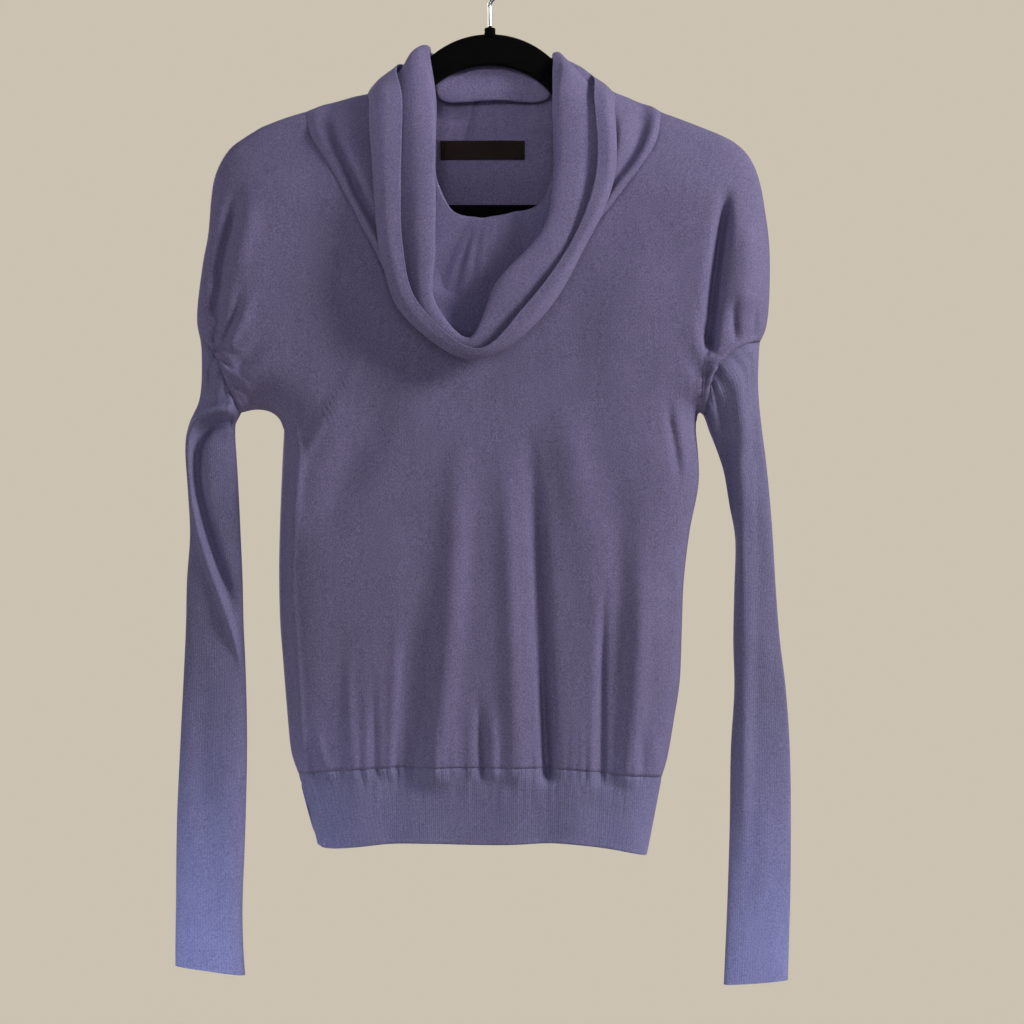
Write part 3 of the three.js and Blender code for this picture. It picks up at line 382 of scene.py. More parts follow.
def progress(run: Array) -> Array:
    """Share of a run's length before each of its points."""
    steps = np.linalg.norm(np.diff(run, axis=0), axis=1)
    total = np.concatenate([[0.0], np.cumsum(steps)])
    return total / total[-1]


def spread(points: list | Array, places: Array) -> Array:
    """Points of a sheet curve at the given shares of its length, in mm.

    Args:
        points: sheet points that the curve passes through.
        places: shares of its length, 0 to 1.

    Returns:
        One row of x and z for each place.
    """
    fine = spline(to_mm(points), np.linspace(0, 1, CURVE_POINTS))
    share = progress(fine)
    return np.stack([np.interp(places, share, fine[:, k]) for k in range(2)], axis=1)


def dense(*rows: list) -> Array:
    """Joined run of closely spaced points through several sheet curves, in mm."""
    return np.vstack([spread(row, np.linspace(0, 1, 5 * len(row))) for row in rows])


def nearest(run: Array, x: Array, z: Array) -> tuple[Array, Array]:
    """Least distance from each (x, z) to a run, and the share of the run where it is.

    On each piece the place is t = (p - a) . (b - a) / |b - a|^2, held in 0..1.

    Args:
        run: points of the run, in mm.
        x: places across.
        z: heights.

    Returns:
        Distances in mm, and shares of the run's length.
    """
    best, where = np.full(x.shape, np.inf), np.zeros(x.shape)
    shares = progress(run)
    for a, b, start, end in zip(run[:-1], run[1:], shares[:-1], shares[1:]):
        step = b - a
        size = float(step @ step)
        if size < TINY:
            continue
        t = np.clip(((x - a[0]) * step[0] + (z - a[1]) * step[1]) / size, 0, 1)
        away = (x - a[0] - t * step[0]) ** 2 + (z - a[1] - t * step[1]) ** 2
        closer = away < best
        best = np.where(closer, away, best)
        where = np.where(closer, start + t * (end - start), where)
    return np.sqrt(best), where


def distance(run: Array, x: Array, z: Array) -> Array:
    """Least distance from each (x, z) to a run, in mm."""
    return nearest(run, x, z)[0]


def fold_sum(folds: list[Fold], x: Array, z: Array) -> Array:
    """Sum of soft ridges and troughs, h exp(-(d / w)^2), each growing and dying along its path.

    Args:
        folds: the folds.
        x: places across, in mm.
        z: heights, in mm.

    Returns:
        Height in mm at each place.
    """
    total = np.zeros_like(x)
    for fold in folds:
        away, where = nearest(dense(fold.path), x, z)
        swell = smooth(where, 0, fold.head)
        if fold.tail > 0:
            swell = swell * smooth(1 - where, 0, fold.tail)
        total += fold.height * swell * bell(away, fold.half)
    return total


def bell(away: Array, width: float) -> Array:
    """Bell curve, exp(-(d / w)^2)."""
    return np.exp(-((away / width) ** 2))


def rise(away: Array, width: Array | float) -> Array:
    """Quarter ellipse, sqrt(1 - (1 - d / w)^2)."""
    left = 1 - np.minimum(1, away / width)
    return np.sqrt(np.maximum(0, 1 - left * left))


def smooth(value: Array, low: float, high: float) -> Array:
    """Soft step, 3 s^2 - 2 s^3."""
    share = np.clip((value - low) / (high - low), 0, 1)
    return share * share * (3 - 2 * share)


def ripple(phase: Array, seed: int) -> Array:
    """Uneven wave about 1 high: the sum of sin(p (1 + s a) + b) with random a and b, over sqrt(tones).

    Args:
        phase: angle of the mean pitch at each point.
        seed: seed of the random pitches and shifts.

    Returns:
        Height at each point.
    """
    dice = np.random.default_rng(seed)
    total = np.zeros_like(phase)
    for _ in range(RIPPLE_TONES):
        total += np.sin(phase * (1 + RIPPLE_SPREAD * dice.uniform(-1, 1)) + dice.uniform(0, RIPPLE_SHIFT))
    return total / math.sqrt(RIPPLE_TONES)


# Depth of the body
def fullness(side: Side, z: Array) -> Array:
    """Depth of one side at its middle, from the table, in mm."""
    rows = np.asarray(FULLNESS, float)
    return np.interp((-z - TOP) / UNIT, rows[:, 0], rows[:, 1 if side is Side.FRONT else 2])


@dataclass
class Relief:
    """Depth of the body's cloth from the middle plane, as a function of the flat place.

    Pitches and lengths are in mm. A gather dies away over its length, exp(-d / length).
    """

    upper: list = field(default_factory=lambda: [
        dense(SHOULDER[h], OVERARM[h], SLEEVE_SIDE[h]) for h in Hand])
    sides: list = field(default_factory=lambda: [
        dense(UNDERARM[h], SIDE_SEAM[h], HEM_SIDE[h]) for h in Hand])
    hem: Array = field(default_factory=lambda: dense(HEM_SEAM))
    ribs: list = field(default_factory=lambda: [dense(RIB_SEAM[h]) for h in Hand])
    gather_length: float = 20.0
    gather_height: float = 0.6
    gather_pitch: float = 9.0
    pucker_length: float = 9.0
    pucker_height: float = 0.35
    pucker_pitch: float = 3.8
    rib_length: float = 11.0
    rib_height: float = 1.5
    rib_pitch: float = 7.5
    seam_slack: float = 0.4

    def edge(self, x: Array, z: Array) -> Array:
        """Product of the quarter-ellipse rises from the outline's seams."""
        down = (-z - TOP) / UNIT
        wide = ROUND_SHOULDER + (ROUND_OVERARM - ROUND_SHOULDER) * smooth(down, OVERARM_START, OVERARM_FULL)
        out = np.ones_like(x)
        for run in self.upper:
            out = out * rise(np.maximum(distance(run, x, z) - self.seam_slack, 0), wide)
        for run in self.sides:
            out = out * rise(np.maximum(distance(run, x, z) - self.seam_slack, 0), ROUND_SIDE)
        return out

    def folds(self, side: Side, x: Array, z: Array) -> Array:
        """Folds of one side's panel and band."""
        return fold_sum(FOLDS[side], x, z)

    def gathers(self, side: Side, x: Array, z: Array) -> Array:
        """Small uneven pleats that die away from the hem seam and from the sleeve seams."""
        seed = GATHER_SEED[side]
        from_hem = distance(self.hem, x, z)
        above = (z > np.interp(x, self.hem[:, 0], self.hem[:, 1])).astype(float)
        fade = np.exp(-from_hem / self.gather_length) * above
        total = self.gather_height * ripple(x * 2 * math.pi / self.gather_pitch, seed) * fade
        pucker = self.pucker_height * ripple(x * 2 * math.pi / self.pucker_pitch, seed + 1)
        total += pucker * np.exp(-from_hem / self.pucker_length) * above
        for number, run in enumerate(self.ribs):
            away = distance(run, x, z)
            along = x * 0.6 + z * (0.8 if number == 0 else -0.8)
            pleats = self.rib_height * ripple(along * 2 * math.pi / self.rib_pitch, seed + 5 + number)
            total += pleats * np.exp(-away / self.rib_length)
        return total

    def depth(self, side: Side, x: Array, z: Array) -> Array:
        """Edge rise times the fullness with its folds, gathers and slight unevenness.

        The unevenness is two products of slow sines, 0.5 and 0.25 mm high.

        Args:
            side: front or back.
            x: places across, in mm.
            z: heights, in mm.

        Returns:
            Depth in mm.
        """
        full = fullness(side, z)
        slack = 0.5 * np.sin(x / 19 + z / 47 + 1.3) * np.sin(z / 33 - x / 71)
        slack += 0.25 * np.sin(x / 8.3 - z / 21) * np.sin(z / 14 + x / 29 + 2)
        body = full + self.folds(side, x, z) + self.gathers(side, x, z) + slack
        return self.edge(x, z) * body

    def cloth(self, side: Side, flat: Array, dip: Array | float) -> Array:
        """Space points of the cloth at flat places, drawn in by the dip in mm."""
        depth = self.depth(side, flat[..., 0], flat[..., 1]) - dip
        return onto_body(flat, np.maximum(depth, 0.0), side)


# Meshes
def coons(top: Array, low: Array, left: Array, right: Array) -> Array:
    """Patch between four edges: blend of opposite edges less the bilinear corner term.

    Args:
        top: points of the upper edge, from left to right.
        low: points of the lower edge, as many.
        left: points of the left edge, from top to bottom.
        right: points of the right edge, as many.

    Returns:
        Array of rows down, columns across, and two mm values.
    """
    v = ((progress(left) + progress(right)) / 2)[:, None, None]
    u = np.linspace(0, 1, len(top))[None, :, None]
    a, b, c, d = top[0], top[-1], low[0], low[-1]
    across = (1 - v) * top[None] + v * low[None]
    along = (1 - u) * left[:, None] + u * right[:, None]
    corner = (1 - u) * (1 - v) * a + u * (1 - v) * b + (1 - u) * v * c + u * v * d
    return across + along - corner


def grid_faces(rows: int, columns: int, start: int = 0, turned: bool = False, closed: bool = False) -> Array:
    """Quads of a grid, numbered row by row from start.

    Args:
        rows: rows of points.
        columns: points in a row.
        start: number of the first point.
        turned: whether the faces look the other way.
        closed: whether the last column joins the first.

    Returns:
        One row of four point numbers a face.
    """
    i, j = np.meshgrid(np.arange(rows - 1), np.arange(columns if closed else columns - 1), indexing="ij")
    k = (j + 1) % columns
    above, below = i * columns, (i + 1) * columns
    quads = np.stack([above + j, below + j, below + k, above + k], axis=-1).reshape(-1, 4) + start
    return quads[:, ::-1] if turned else quads


def weld(points: Array, uv: Array, quads: Array) -> tuple[Array, Array, Array]:
    """Merges points at one place, to 1 / WELD_CELLS mm, and renumbers the quads."""
    cells = np.round(points * WELD_CELLS).astype(int)
    _, first, back = np.unique(cells, axis=0, return_index=True, return_inverse=True)
    return points[first], uv[first], back.reshape(-1)[quads]


def make_cloth(node: str, points_mm: Array, quads: Array, uv: Array, wall_mm: float) -> bpy.types.Object:
    """Mesh object of a cloth, in metres at the origin.

    Args:
        node: solid that it stands for, which names it.
        points_mm: its points, in any grid.
        quads: four point numbers a face, outwards.
        uv: one place a point, in metres.
        wall_mm: thickness put on evenly by Solidify.

    Returns:
        The new object.
    """
    mesh = bpy.data.meshes.new(f"{node}_cloth")
    mesh.from_pydata((points_mm.reshape(-1, 3) * MM).tolist(), [], quads.tolist())
    mesh.update()
    layer = mesh.uv_layers.new(name="cloth")
    loops = np.empty(len(mesh.loops), dtype=np.int32)
    mesh.loops.foreach_get("vertex_index", loops)
    layer.data.foreach_set("uv", uv.reshape(-1, 2)[loops].astype(np.float32).ravel())
    obj = dress(mesh, node)
    wall = obj.modifiers.new("wall", "SOLIDIFY")
    wall.thickness = wall_mm * MM
    wall.offset = 0.0
    LOG.info("%s: %d points", mesh.name, len(mesh.vertices))
    return obj


def add_object(name: str, data: bpy.types.ID) -> bpy.types.Object:
    """New object of the data, put in the scene."""
    obj = bpy.data.objects.new(name, data)
    bpy.context.scene.collection.objects.link(obj)
    return obj


def dress(mesh: bpy.types.Mesh, node: str) -> bpy.types.Object:
    """Smooth object of a mesh, which stands for one solid.

    Args:
        mesh: the mesh, which gives the object its name.
        node: solid that it stands for.

    Returns:
        The new object.
    """
    mesh.polygons.foreach_set("use_smooth", np.ones(len(mesh.polygons), dtype=bool))
    obj = add_object(mesh.name, mesh)
    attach(obj, "root")
    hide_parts(node)
    return obj


def onto_body(flat: Array, depth: Array, side: Side) -> Array:
    """Space points from flat places and depths."""
    y = -depth if side is Side.FRONT else depth
    return np.stack([flat[..., 0], y, flat[..., 1]], axis=-1)


def neck_run(side: Side, per_station: int) -> Array:
    """Flat neckline points of one side, from the viewer's left to right."""
    if side is Side.FRONT:
        rows = to_mm(NECK[LEFT_POINT:RIGHT_POINT + 1])
    else:
        rows = to_mm((NECK[RIGHT_POINT:] + NECK[:LEFT_POINT + 1])[::-1])
    return spline(rows, np.linspace(0, 1, (len(rows) - 1) * per_station + 1))


# The garment's pieces
@dataclass
class Panel:
    """Front or back panel, cut in one with its halves of the upper sleeves.

    The dips and the lip are the heights in mm of what sewing draws in or pushes up at a seam.
    """

    side: Side
    relief: Relief
    fine: int = 4
    wall: float = 1.3
    neck_dip: float = 0.8
    hem_dip: float = 0.4
    rib_dip: float = 0.9
    rib_lip: float = 0.7
    dip_half: float = 1.6
    lip_place: float = 3.0
    shoulder_faces: int = 4
    wing_faces: int = 12
    rib_faces: int = 12
    body_faces: int = 20
    seam_bias: float = 1.6

    def edges(self) -> tuple[Array, Array, Array, Array]:
        """Flat top, bottom, left and right edges of the body patch."""
        steps = np.linspace(0, 1, self.shoulder_faces * self.fine + 1)
        left = spread(SHOULDER[Hand.LEFT][:3][::-1], steps)
        right = spread(SHOULDER[Hand.RIGHT][:3], steps)
        top = np.vstack([left[:-1], neck_run(self.side, NECK_FACES[self.side]), right[1:]])
        rows = np.linspace(0, 1, self.rib_faces * self.fine + 1) ** self.seam_bias
        lower = np.linspace(0, 1, self.body_faces * self.fine + 1)
        sides = [np.vstack([spread(COLUMN[h], rows), spread(SIDE_SEAM[h], lower)[1:]]) for h in Hand]
        return top, spread(HEM_SEAM, np.linspace(0, 1, len(top))), sides[0], sides[1]

    def wing(self, hand: Hand) -> Array:
        """Flat upper sleeve from the shared column to the ribbed seam."""
        across = np.linspace(0, 1, self.wing_faces * self.fine + 1)
        down = np.linspace(0, 1, self.rib_faces * self.fine + 1)
        outer = spread(SHOULDER[hand][2:] + OVERARM[hand][1:], across)
        lower = spread(UNDERARM[hand][::-1], across)
        shared = spread(COLUMN[hand], down ** self.seam_bias)
        return coons(shared, spread(RIB_SEAM[hand], down), outer, lower)

    def tuck(self, flat: Array) -> Array:
        """Dip of the cloth into its seams, less the lip beside the ribbed seams, in mm."""
        x, z = flat[..., 0], flat[..., 1]
        dip = self.neck_dip * bell(distance(neck_run(self.side, NECK_SAMPLES), x, z), self.dip_half)
        dip += self.hem_dip * bell(distance(dense(HEM_SEAM), x, z), self.dip_half)
        for hand in Hand:
            away = distance(dense(RIB_SEAM[hand]), x, z)
            dip += self.rib_dip * bell(away, 1.5) - self.rib_lip * bell(away - self.lip_place, 1.4)
        return dip

    def build(self) -> bpy.types.Object:
        """Mesh of the panel, welded from its body and its two upper sleeves."""
        front = self.side is Side.FRONT
        grids = ((coons(*self.edges()), not front), (self.wing(Hand.LEFT), not front),
                 (self.wing(Hand.RIGHT), front))
        points, uvs, quads, start = [], [], [], 0
        for flat, turned in grids:
            space = self.relief.cloth(self.side, flat, self.tuck(flat)).reshape(-1, 3)
            quads.append(grid_faces(*flat.shape[:2], start=start, turned=turned))
            points.append(space)
            uvs.append(flat.reshape(-1, 2) * MM)
            start += len(space)
        space, uv, faces = weld(np.vstack(points), np.vstack(uvs), np.vstack(quads))
        obj = make_cloth(self.side.value, space, faces, uv, self.wall)
        return obj


@dataclass
class HemBand:
    """Ribbed band below a panel, with waves, ribs and a thicker edge in mm."""

    side: Side
    relief: Relief
    columns: int = 360
    rows: int = 36
    wall: float = 1.6
    width: float = 300.0
    height: float = 66.0
    wave: float = 1.1
    wave_pitch: float = 62.0
    pucker: float = 0.35
    pucker_pitch: float = 9.0
    rib: float = 0.07
    rib_pitch: float = 3.4
    edge: float = 0.5
    edge_length: float = 3.0
    seam_dip: float = 0.4
    seam_length: float = 1.6
    join_length: float = 9.0
    overlap: float = 1.4
    tuck: float = 0.9
    tuck_length: float = 1.2

    def build(self) -> bpy.types.Object:
        """Mesh of the band: straight lines from the hem seam to the hem's edge."""
        u = np.linspace(0, 1, self.columns)
        u = (1 - np.cos(math.pi * u)) / 2 * 0.5 + u * 0.5
        top, low = spread(HEM_SEAM, u), spread(HEM_EDGE, u)
        v = np.linspace(0, 1, self.rows)[:, None, None]
        flat = (1 - v) * top[None] + v * low[None]
        x, z = flat[..., 0], flat[..., 1]
        seed = RIPPLE_SEED[self.side]
        share = v[..., 0] * np.ones_like(x)
        down = share * self.height
        wave = self.wave * ripple(x * 2 * math.pi / self.wave_pitch, seed) * (0.3 + 0.7 * share)
        wave += self.pucker * ripple(x * 2 * math.pi / self.pucker_pitch, seed + 1) * (1 - share) ** 2
        ribs = self.rib * np.sin(u[None, :] * self.width * 2 * math.pi / self.rib_pitch)
        edge = self.edge * bell((1 - share) * self.height, self.edge_length)
        fold = self.relief.folds(self.side, x, z)
        depth = self.relief.edge(x, z) * (fullness(self.side, z) + fold + wave + ribs + edge)
        panel = self.relief.depth(self.side, top[None, :, 0], top[None, :, 1])
        near, under = bell(down, self.join_length), bell(down, self.tuck_length)
        dip = self.seam_dip * bell(down, self.seam_length)
        depth = depth * (1 - near) + panel * near - dip - self.tuck * under
        flat[..., 1] += self.overlap * under
        space = onto_body(flat, np.maximum(depth, 0), self.side)
        quads = grid_faces(self.rows, self.columns, turned=self.side is Side.BACK)
        obj = make_cloth(f"hem_band_{self.side.value}", space, quads, flat * MM, self.wall)
        return obj


@dataclass
class Sleeve:
    """Long slim ribbed sleeve, one tube from the slanted seam to the cuff.

    Heights and lengths are in mm, the girth in metres, the slant and the gathers' phase in radians.
    """

    hand: Hand
    relief: Relief
    around: int = 120
    rings: int = 230
    wall: float = 1.3
    length: float = 500.0
    girth: float = 0.115
    roundness: float = 2.3
    crease_half: float = 0.13
    crease_height: float = 0.4
    back_share: float = 0.5
    slack: float = 0.7
    slack_pitch: float = 17.0
    slack_slant: float = 3.0
    gather: float = 0.8
    gather_phase: float = 40.0
    gather_length: float = 26.0
    fold_reach: float = 1.6
    cuff: float = 0.5
    cuff_length: float = 2.5
    seam_length: float = 10.0
    seam_share: float = 0.35
    seam_dip: float = 1.1

    def seam_ring(self) -> Array:
        """First ring, on the panels' seam."""
        half = self.around // 2
        places = np.arange(half) / half
        front, back = spread(RIB_SEAM[self.hand], places), spread(RIB_SEAM[self.hand], 1 - places)
        return np.vstack([self.relief.cloth(Side.FRONT, front, self.seam_dip),
                          self.relief.cloth(Side.BACK, back, self.seam_dip)])

    def build(self) -> bpy.types.Object:
        """Mesh of the sleeve: rings between two edge curves, depth a superellipse with a soft crease."""
        rows = np.asarray(SLEEVE_ROWS[self.hand], float)
        v = np.linspace(0, 1, self.rings)
        outer = spline(to_mm(rows[:, 0:2]), v)
        inner = spline(to_mm(rows[:, 2:4]), v)
        values = spline(rows[:, 4:7], v)
        half = self.around // 2
        way = (1 - np.cos(math.pi * np.arange(half) / half)) / 2
        share = np.concatenate([way, 1 - way])[None, :]
        front = np.concatenate([np.ones(half), np.zeros(half)])[None, :]
        depth, crease, ridge = (values[:, k:k + 1] for k in range(3))
        round_off = (1 - np.abs(2 * share - 1) ** self.roundness) ** (1 / self.roundness)
        crest = self.crease_height * ridge * bell(share - crease, self.crease_half) * round_off
        length = v[:, None] * self.length
        seed = RIPPLE_SEED[self.hand]
        slack = self.slack * ripple(length / self.slack_pitch + share * self.slack_slant, seed) * round_off
        fade = np.exp(-length / self.gather_length)
        gather = self.gather * ripple(share * self.gather_phase, seed + 1) * fade * round_off
        flat = outer[:, None] * (1 - share[..., None]) + inner[:, None] * share[..., None]
        laid = fold_sum(SLEEVE_FOLDS[self.hand], flat[..., 0], flat[..., 1])
        laid = laid * np.minimum(1, self.fold_reach * round_off) * np.where(front > 0, 1.0, self.back_share)
        off = depth * (0.5 + 0.1 * front) * round_off + crest + slack + gather + laid
        cuff = self.cuff * bell((1 - v[:, None]) * self.length, self.cuff_length)
        y = (1 - 2 * front) * (np.maximum(off, 0) + cuff)
        space = np.stack([flat[..., 0], y, flat[..., 1]], axis=-1)
        seam = self.seam_ring()
        blend = np.exp(-v * self.length / self.seam_length)[:, None, None] * self.seam_share
        space = space * (1 - blend) + (seam[None] + (space - space[:1])) * blend
        space = np.vstack([seam[None], space])
        turn = np.linspace(0, self.girth, self.around, endpoint=False)[None, :]
        uv = np.stack([turn + 0 * space[..., 0], space[..., 2] * MM], axis=-1)
        quads = grid_faces(len(space), self.around, turned=self.hand is Hand.RIGHT, closed=True)
        obj = make_cloth(f"sleeve_{self.hand.value}", space, quads, uv, self.wall)
        return obj


@dataclass
class Cowl:
    """Collar ring: a section of the neckline and thirteen loops, carried round the neck.

    The waves and the ridge of the back seam are heights in mm. Rows of the section are counted in loops.
    """

    relief: Relief
    per_station: int = 18
    steps: tuple[int, ...] = (6, 6, 6, 8, 8, 8, 18, 8, 8, 10, 12, 12, 12)
    wall: float = 1.3
    girth: float = 0.62
    neck_dip: float = 0.8
    wave: float = 0.5
    cross_wave: float = 0.35
    bag_wave: float = 0.7
    bag_side_wave: float = 0.8
    seam_place: float = 0.02
    seam_half: float = 0.0006
    seam_ridge: float = 1.4
    seam_end: float = 5.0
    squeeze: float = 0.22

    def build(self) -> bpy.types.Object:
        """Mesh of the collar: closed curves round the neck, joined by cubic sections."""
        around = STATIONS * self.per_station
        places = self.places(around)
        loops = []
        for rows in COLLAR.values():
            table = np.asarray(rows, float)
            flat = to_mm(table[:, :2])
            space = np.stack([flat[:, 0], -table[:, 2], flat[:, 1]], axis=1)
            loops.append(spline(space, places, closed=True, even=False))
        seam = self.seam(places)
        knots = np.stack([seam, *loops])
        parts = [(k + np.arange(n) / n) / len(self.steps) for k, n in enumerate(self.steps)]
        section = np.concatenate([*parts, [1.0]])
        space = spline(knots, section, even=False).transpose(1, 0, 2)
        space = self.creases(space, section, places)
        steps = np.diff(space, axis=1, prepend=space[:, :1])
        lengths = np.cumsum(np.linalg.norm(steps, axis=2), axis=1)
        u = np.repeat((places * self.girth)[:, None], len(section), axis=1)
        uv = np.stack([u, lengths * MM], axis=-1)
        quads = grid_faces(around, len(section))
        wrap = self.wrap_faces(around, len(section))
        obj = make_cloth("cowl", space, np.vstack([quads, wrap]), uv, self.wall)
        return obj

    def places(self, around: int) -> Array:
        """Even places round the neck, with the columns beside the back seam drawn close to it."""
        even = np.arange(around) / around
        away = even - self.seam_place
        return np.where(np.abs(away) < 1.5 / around, self.seam_place + away * self.squeeze, even)

    def seam(self, places: Array) -> Array:
        """Row on the neckline, drawn in a little where it is sewn."""
        station = places * STATIONS
        out = np.zeros((len(places), 3))
        front = (station >= LEFT_POINT) & (station <= RIGHT_POINT)
        ahead = spline(to_mm(NECK[LEFT_POINT:RIGHT_POINT + 1]), (station[front] - LEFT_POINT) / 10)
        past = np.where(station[~front] > RIGHT_POINT, station[~front] - RIGHT_POINT, station[~front] + 2)
        behind = spline(to_mm(NECK[RIGHT_POINT:] + NECK[:LEFT_POINT + 1]), past / 4)
        out[front] = self.relief.cloth(Side.FRONT, ahead, self.neck_dip)
        out[~front] = self.relief.cloth(Side.BACK, behind, self.neck_dip)
        return out

    def creases(self, space: Array, section: Array, places: Array) -> Array:
        """Small soft folds along the collar, pushed out along the cloth's own normal."""
        down = np.gradient(space, axis=1)
        round_neck = np.roll(space, -1, axis=0) - np.roll(space, 1, axis=0)
        outward = np.cross(round_neck, down)
        outward /= np.maximum(np.linalg.norm(outward, axis=2, keepdims=True), TINY)
        span, turn = section[None, :] * len(self.steps), 2 * math.pi * places[:, None]
        wave = self.wave * np.sin(5 * turn + 0.7 * span) * np.sin(0.6 * span + 1)
        wave += self.cross_wave * np.sin(13 * turn - 1.1 * span + 0.7) * np.sin(0.9 * span + 3 * turn)
        wave = wave * smooth(span, 0.0, 1.0) * (1 - 0.6 * smooth(span, 12.0, 13.0))
        bag = bell(span - 6.45, 0.35) * bell(turn - math.pi, 0.8)
        wave += self.bag_wave * np.sin(11 * turn + 3.5 * span) * bag
        bag_side = bell(span - 6.5, 0.22) * bell(turn - 2.9, 0.16)
        wave += self.bag_side_wave * np.sin(34 * turn - 6 * span + 1) * bag_side
        back_seam = bell(places[:, None] - self.seam_place, self.seam_half) * (span < self.seam_end)
        return space + outward * (wave + self.seam_ridge * back_seam)[..., None]

    def wrap_faces(self, around: int, wide: int) -> Array:
        """Quads that close the ring from its last column to its first."""
        j = np.arange(wide - 1)
        last = (around - 1) * wide
        return np.stack([last + j, j, j + 1, last + j + 1], axis=1)


@dataclass
class NeckLabel:
    """Bare woven label below the back neck seam: its edges in sheet units, its heights in mm."""

    relief: Relief
    left: float = 440.0
    right: float = 525.0
    top: float = 137.5
    low: float = 156.5
    columns: int = 90
    rows: int = 26
    wall: float = 0.5
    inside: float = 1.6
    bow: float = 1.1
    twist: float = 0.25
    stitch: float = 0.35

    def build(self) -> bpy.types.Object:
        """Mesh of the label: a little bowed between its stitched ends."""
        u, v = np.meshgrid(np.linspace(0, 1, self.columns), np.linspace(0, 1, self.rows))
        flat = to_mm(np.stack([self.left + (self.right - self.left) * u,
                               self.top + (self.low - self.top) * v], -1))
        depth = self.relief.depth(Side.BACK, flat[..., 0], flat[..., 1]) - self.inside
        bow = self.bow * np.sin(math.pi * u) * (0.5 + 0.5 * v) + self.twist * np.sin(9 * u + 2) * v
        ends = self.stitch * (bell(u - 0.035, 0.012) + bell(u - 0.965, 0.012))
        space = onto_body(flat, depth - bow + ends, Side.BACK)
        quads, uv = grid_faces(self.rows, self.columns), np.stack([u * 0.07, v * 0.016], -1)
        obj = make_cloth("neck_label", space, quads, uv, self.wall)
        return obj


@dataclass
class Hanger:
    """Flocked hanger: arch, two arms and a bottom bar in one board, with the hook's boss.

    Thickness and rounding are in mm, the rest in sheet units.
    """

    thick: float = 6.0
    rounding: float = 2.6
    left_end: float = 222.0
    right_end: float = 753.0
    bar_low: float = 223.0
    bar_top: float = 205.0
    arch_low: float = 124.5
    arch_radius: float = 90.0
    inner_middle: float = 489.5
    inner_low: float = 148.5
    inner_radius: float = 83.0

    def outline(self) -> tuple[Array, Array]:
        """Flat outer and inner outlines of the board, in mm."""
        arch = self.arc(CENTRE, self.arch_low, self.arch_radius, 1.02)
        left, right, low = self.left_end, self.right_end, self.bar_low
        over = [*ARM[Hand.LEFT][::-1], *arch, *ARM[Hand.RIGHT], [right - 3, 172], [right, 190],
                [right - 6, 207], [right - 20, 219], [right - 38, low]]
        under = [[left + 38, low], [left + 20, 219], [left + 6, 207], [left, 188], [left + 3, 168],
                 ARM[Hand.LEFT][6]]
        inner = self.arc(self.inner_middle, self.inner_low, self.inner_radius, 0.98)
        window = [[250, 192], [242, 182], [240, 170], [247, 160], [262, 150], [308, 134], [372, 117],
                  [404, 109], *inner, [576, 109], [608, 117], [668, 134], [716, 151], [730, 160],
                  [738, 170], [738, 182], [730, 192]]
        outer = np.vstack([spline(to_mm(over), np.linspace(0, 1, 260)),
                           spline(to_mm(under), np.linspace(0, 1, 60))[:-1]])
        hole = np.vstack([spline(to_mm(window), np.linspace(0, 1, 240)),
                          to_mm([[712, self.bar_top], [268, self.bar_top]])])
        return outer, hole

    @staticmethod
    def arc(middle: float, low: float, radius: float, reach: float) -> list[list[float]]:
        """Nine points of an arc over the middle, as far as the reach in radians to each side."""
        turn = np.linspace(-reach, reach, 9)
        return np.stack([middle + radius * np.sin(turn), low - radius * np.cos(turn)], 1).tolist()

    def board(self) -> bpy.types.Mesh:
        """Flat outline filled, given its thickness and a rounded edge."""
        curve = bpy.data.curves.new("board_outline", "CURVE")
        curve.dimensions = "2D"
        curve.fill_mode = "BOTH"
        curve.extrude = (self.thick / 2 - self.rounding) * MM
        curve.bevel_depth = self.rounding * MM
        curve.bevel_resolution = 3
        curve.offset = -self.rounding * MM
        for run in self.outline():
            line = curve.splines.new("POLY")
            line.points.add(len(run) - 1)
            flat = np.zeros((len(run), 4))
            flat[:, :2], flat[:, 3] = run * MM, 1
            line.points.foreach_set("co", flat.ravel())
            line.use_cyclic_u = True
        holder = add_object("board_outline", curve)
        graph = bpy.context.evaluated_depsgraph_get()
        mesh = bpy.data.meshes.new_from_object(holder.evaluated_get(graph))
        bpy.data.objects.remove(holder)
        bpy.data.curves.remove(curve)
        return mesh

    def build(self) -> bpy.types.Object:
        """Board turned upright, with its boss."""
        mesh = self.board()
        mesh.name = "hanger_board"
        flat = np.empty((len(mesh.vertices), 3))
        mesh.vertices.foreach_get("co", flat.ravel())
        upright = np.stack([flat[:, 0], -flat[:, 2], flat[:, 1]], axis=1)
        mesh.vertices.foreach_set("co", upright.ravel())
        join_part(mesh, *self.boss())
        return dress(mesh, "hanger")

    def boss(self) -> tuple[Array, Array]:
        """Turned boss under the hook: radius by height, in mm."""
        rows = [[POINT, -62.3], [3.2, -62.3], [4.2, -62.6], [4.6, -63.6], [4.5, -66], [5.1, -70.2],
                [POINT, -70.2]]
        radius, height = np.array(rows).T[:, :, None]
        turn = np.linspace(0, 2 * math.pi, 40, endpoint=False)
        points = np.stack([radius * np.cos(turn), radius * np.sin(turn), height + 0 * turn], axis=-1)
        return points.reshape(-1, 3), grid_faces(len(rows), len(turn), closed=True)


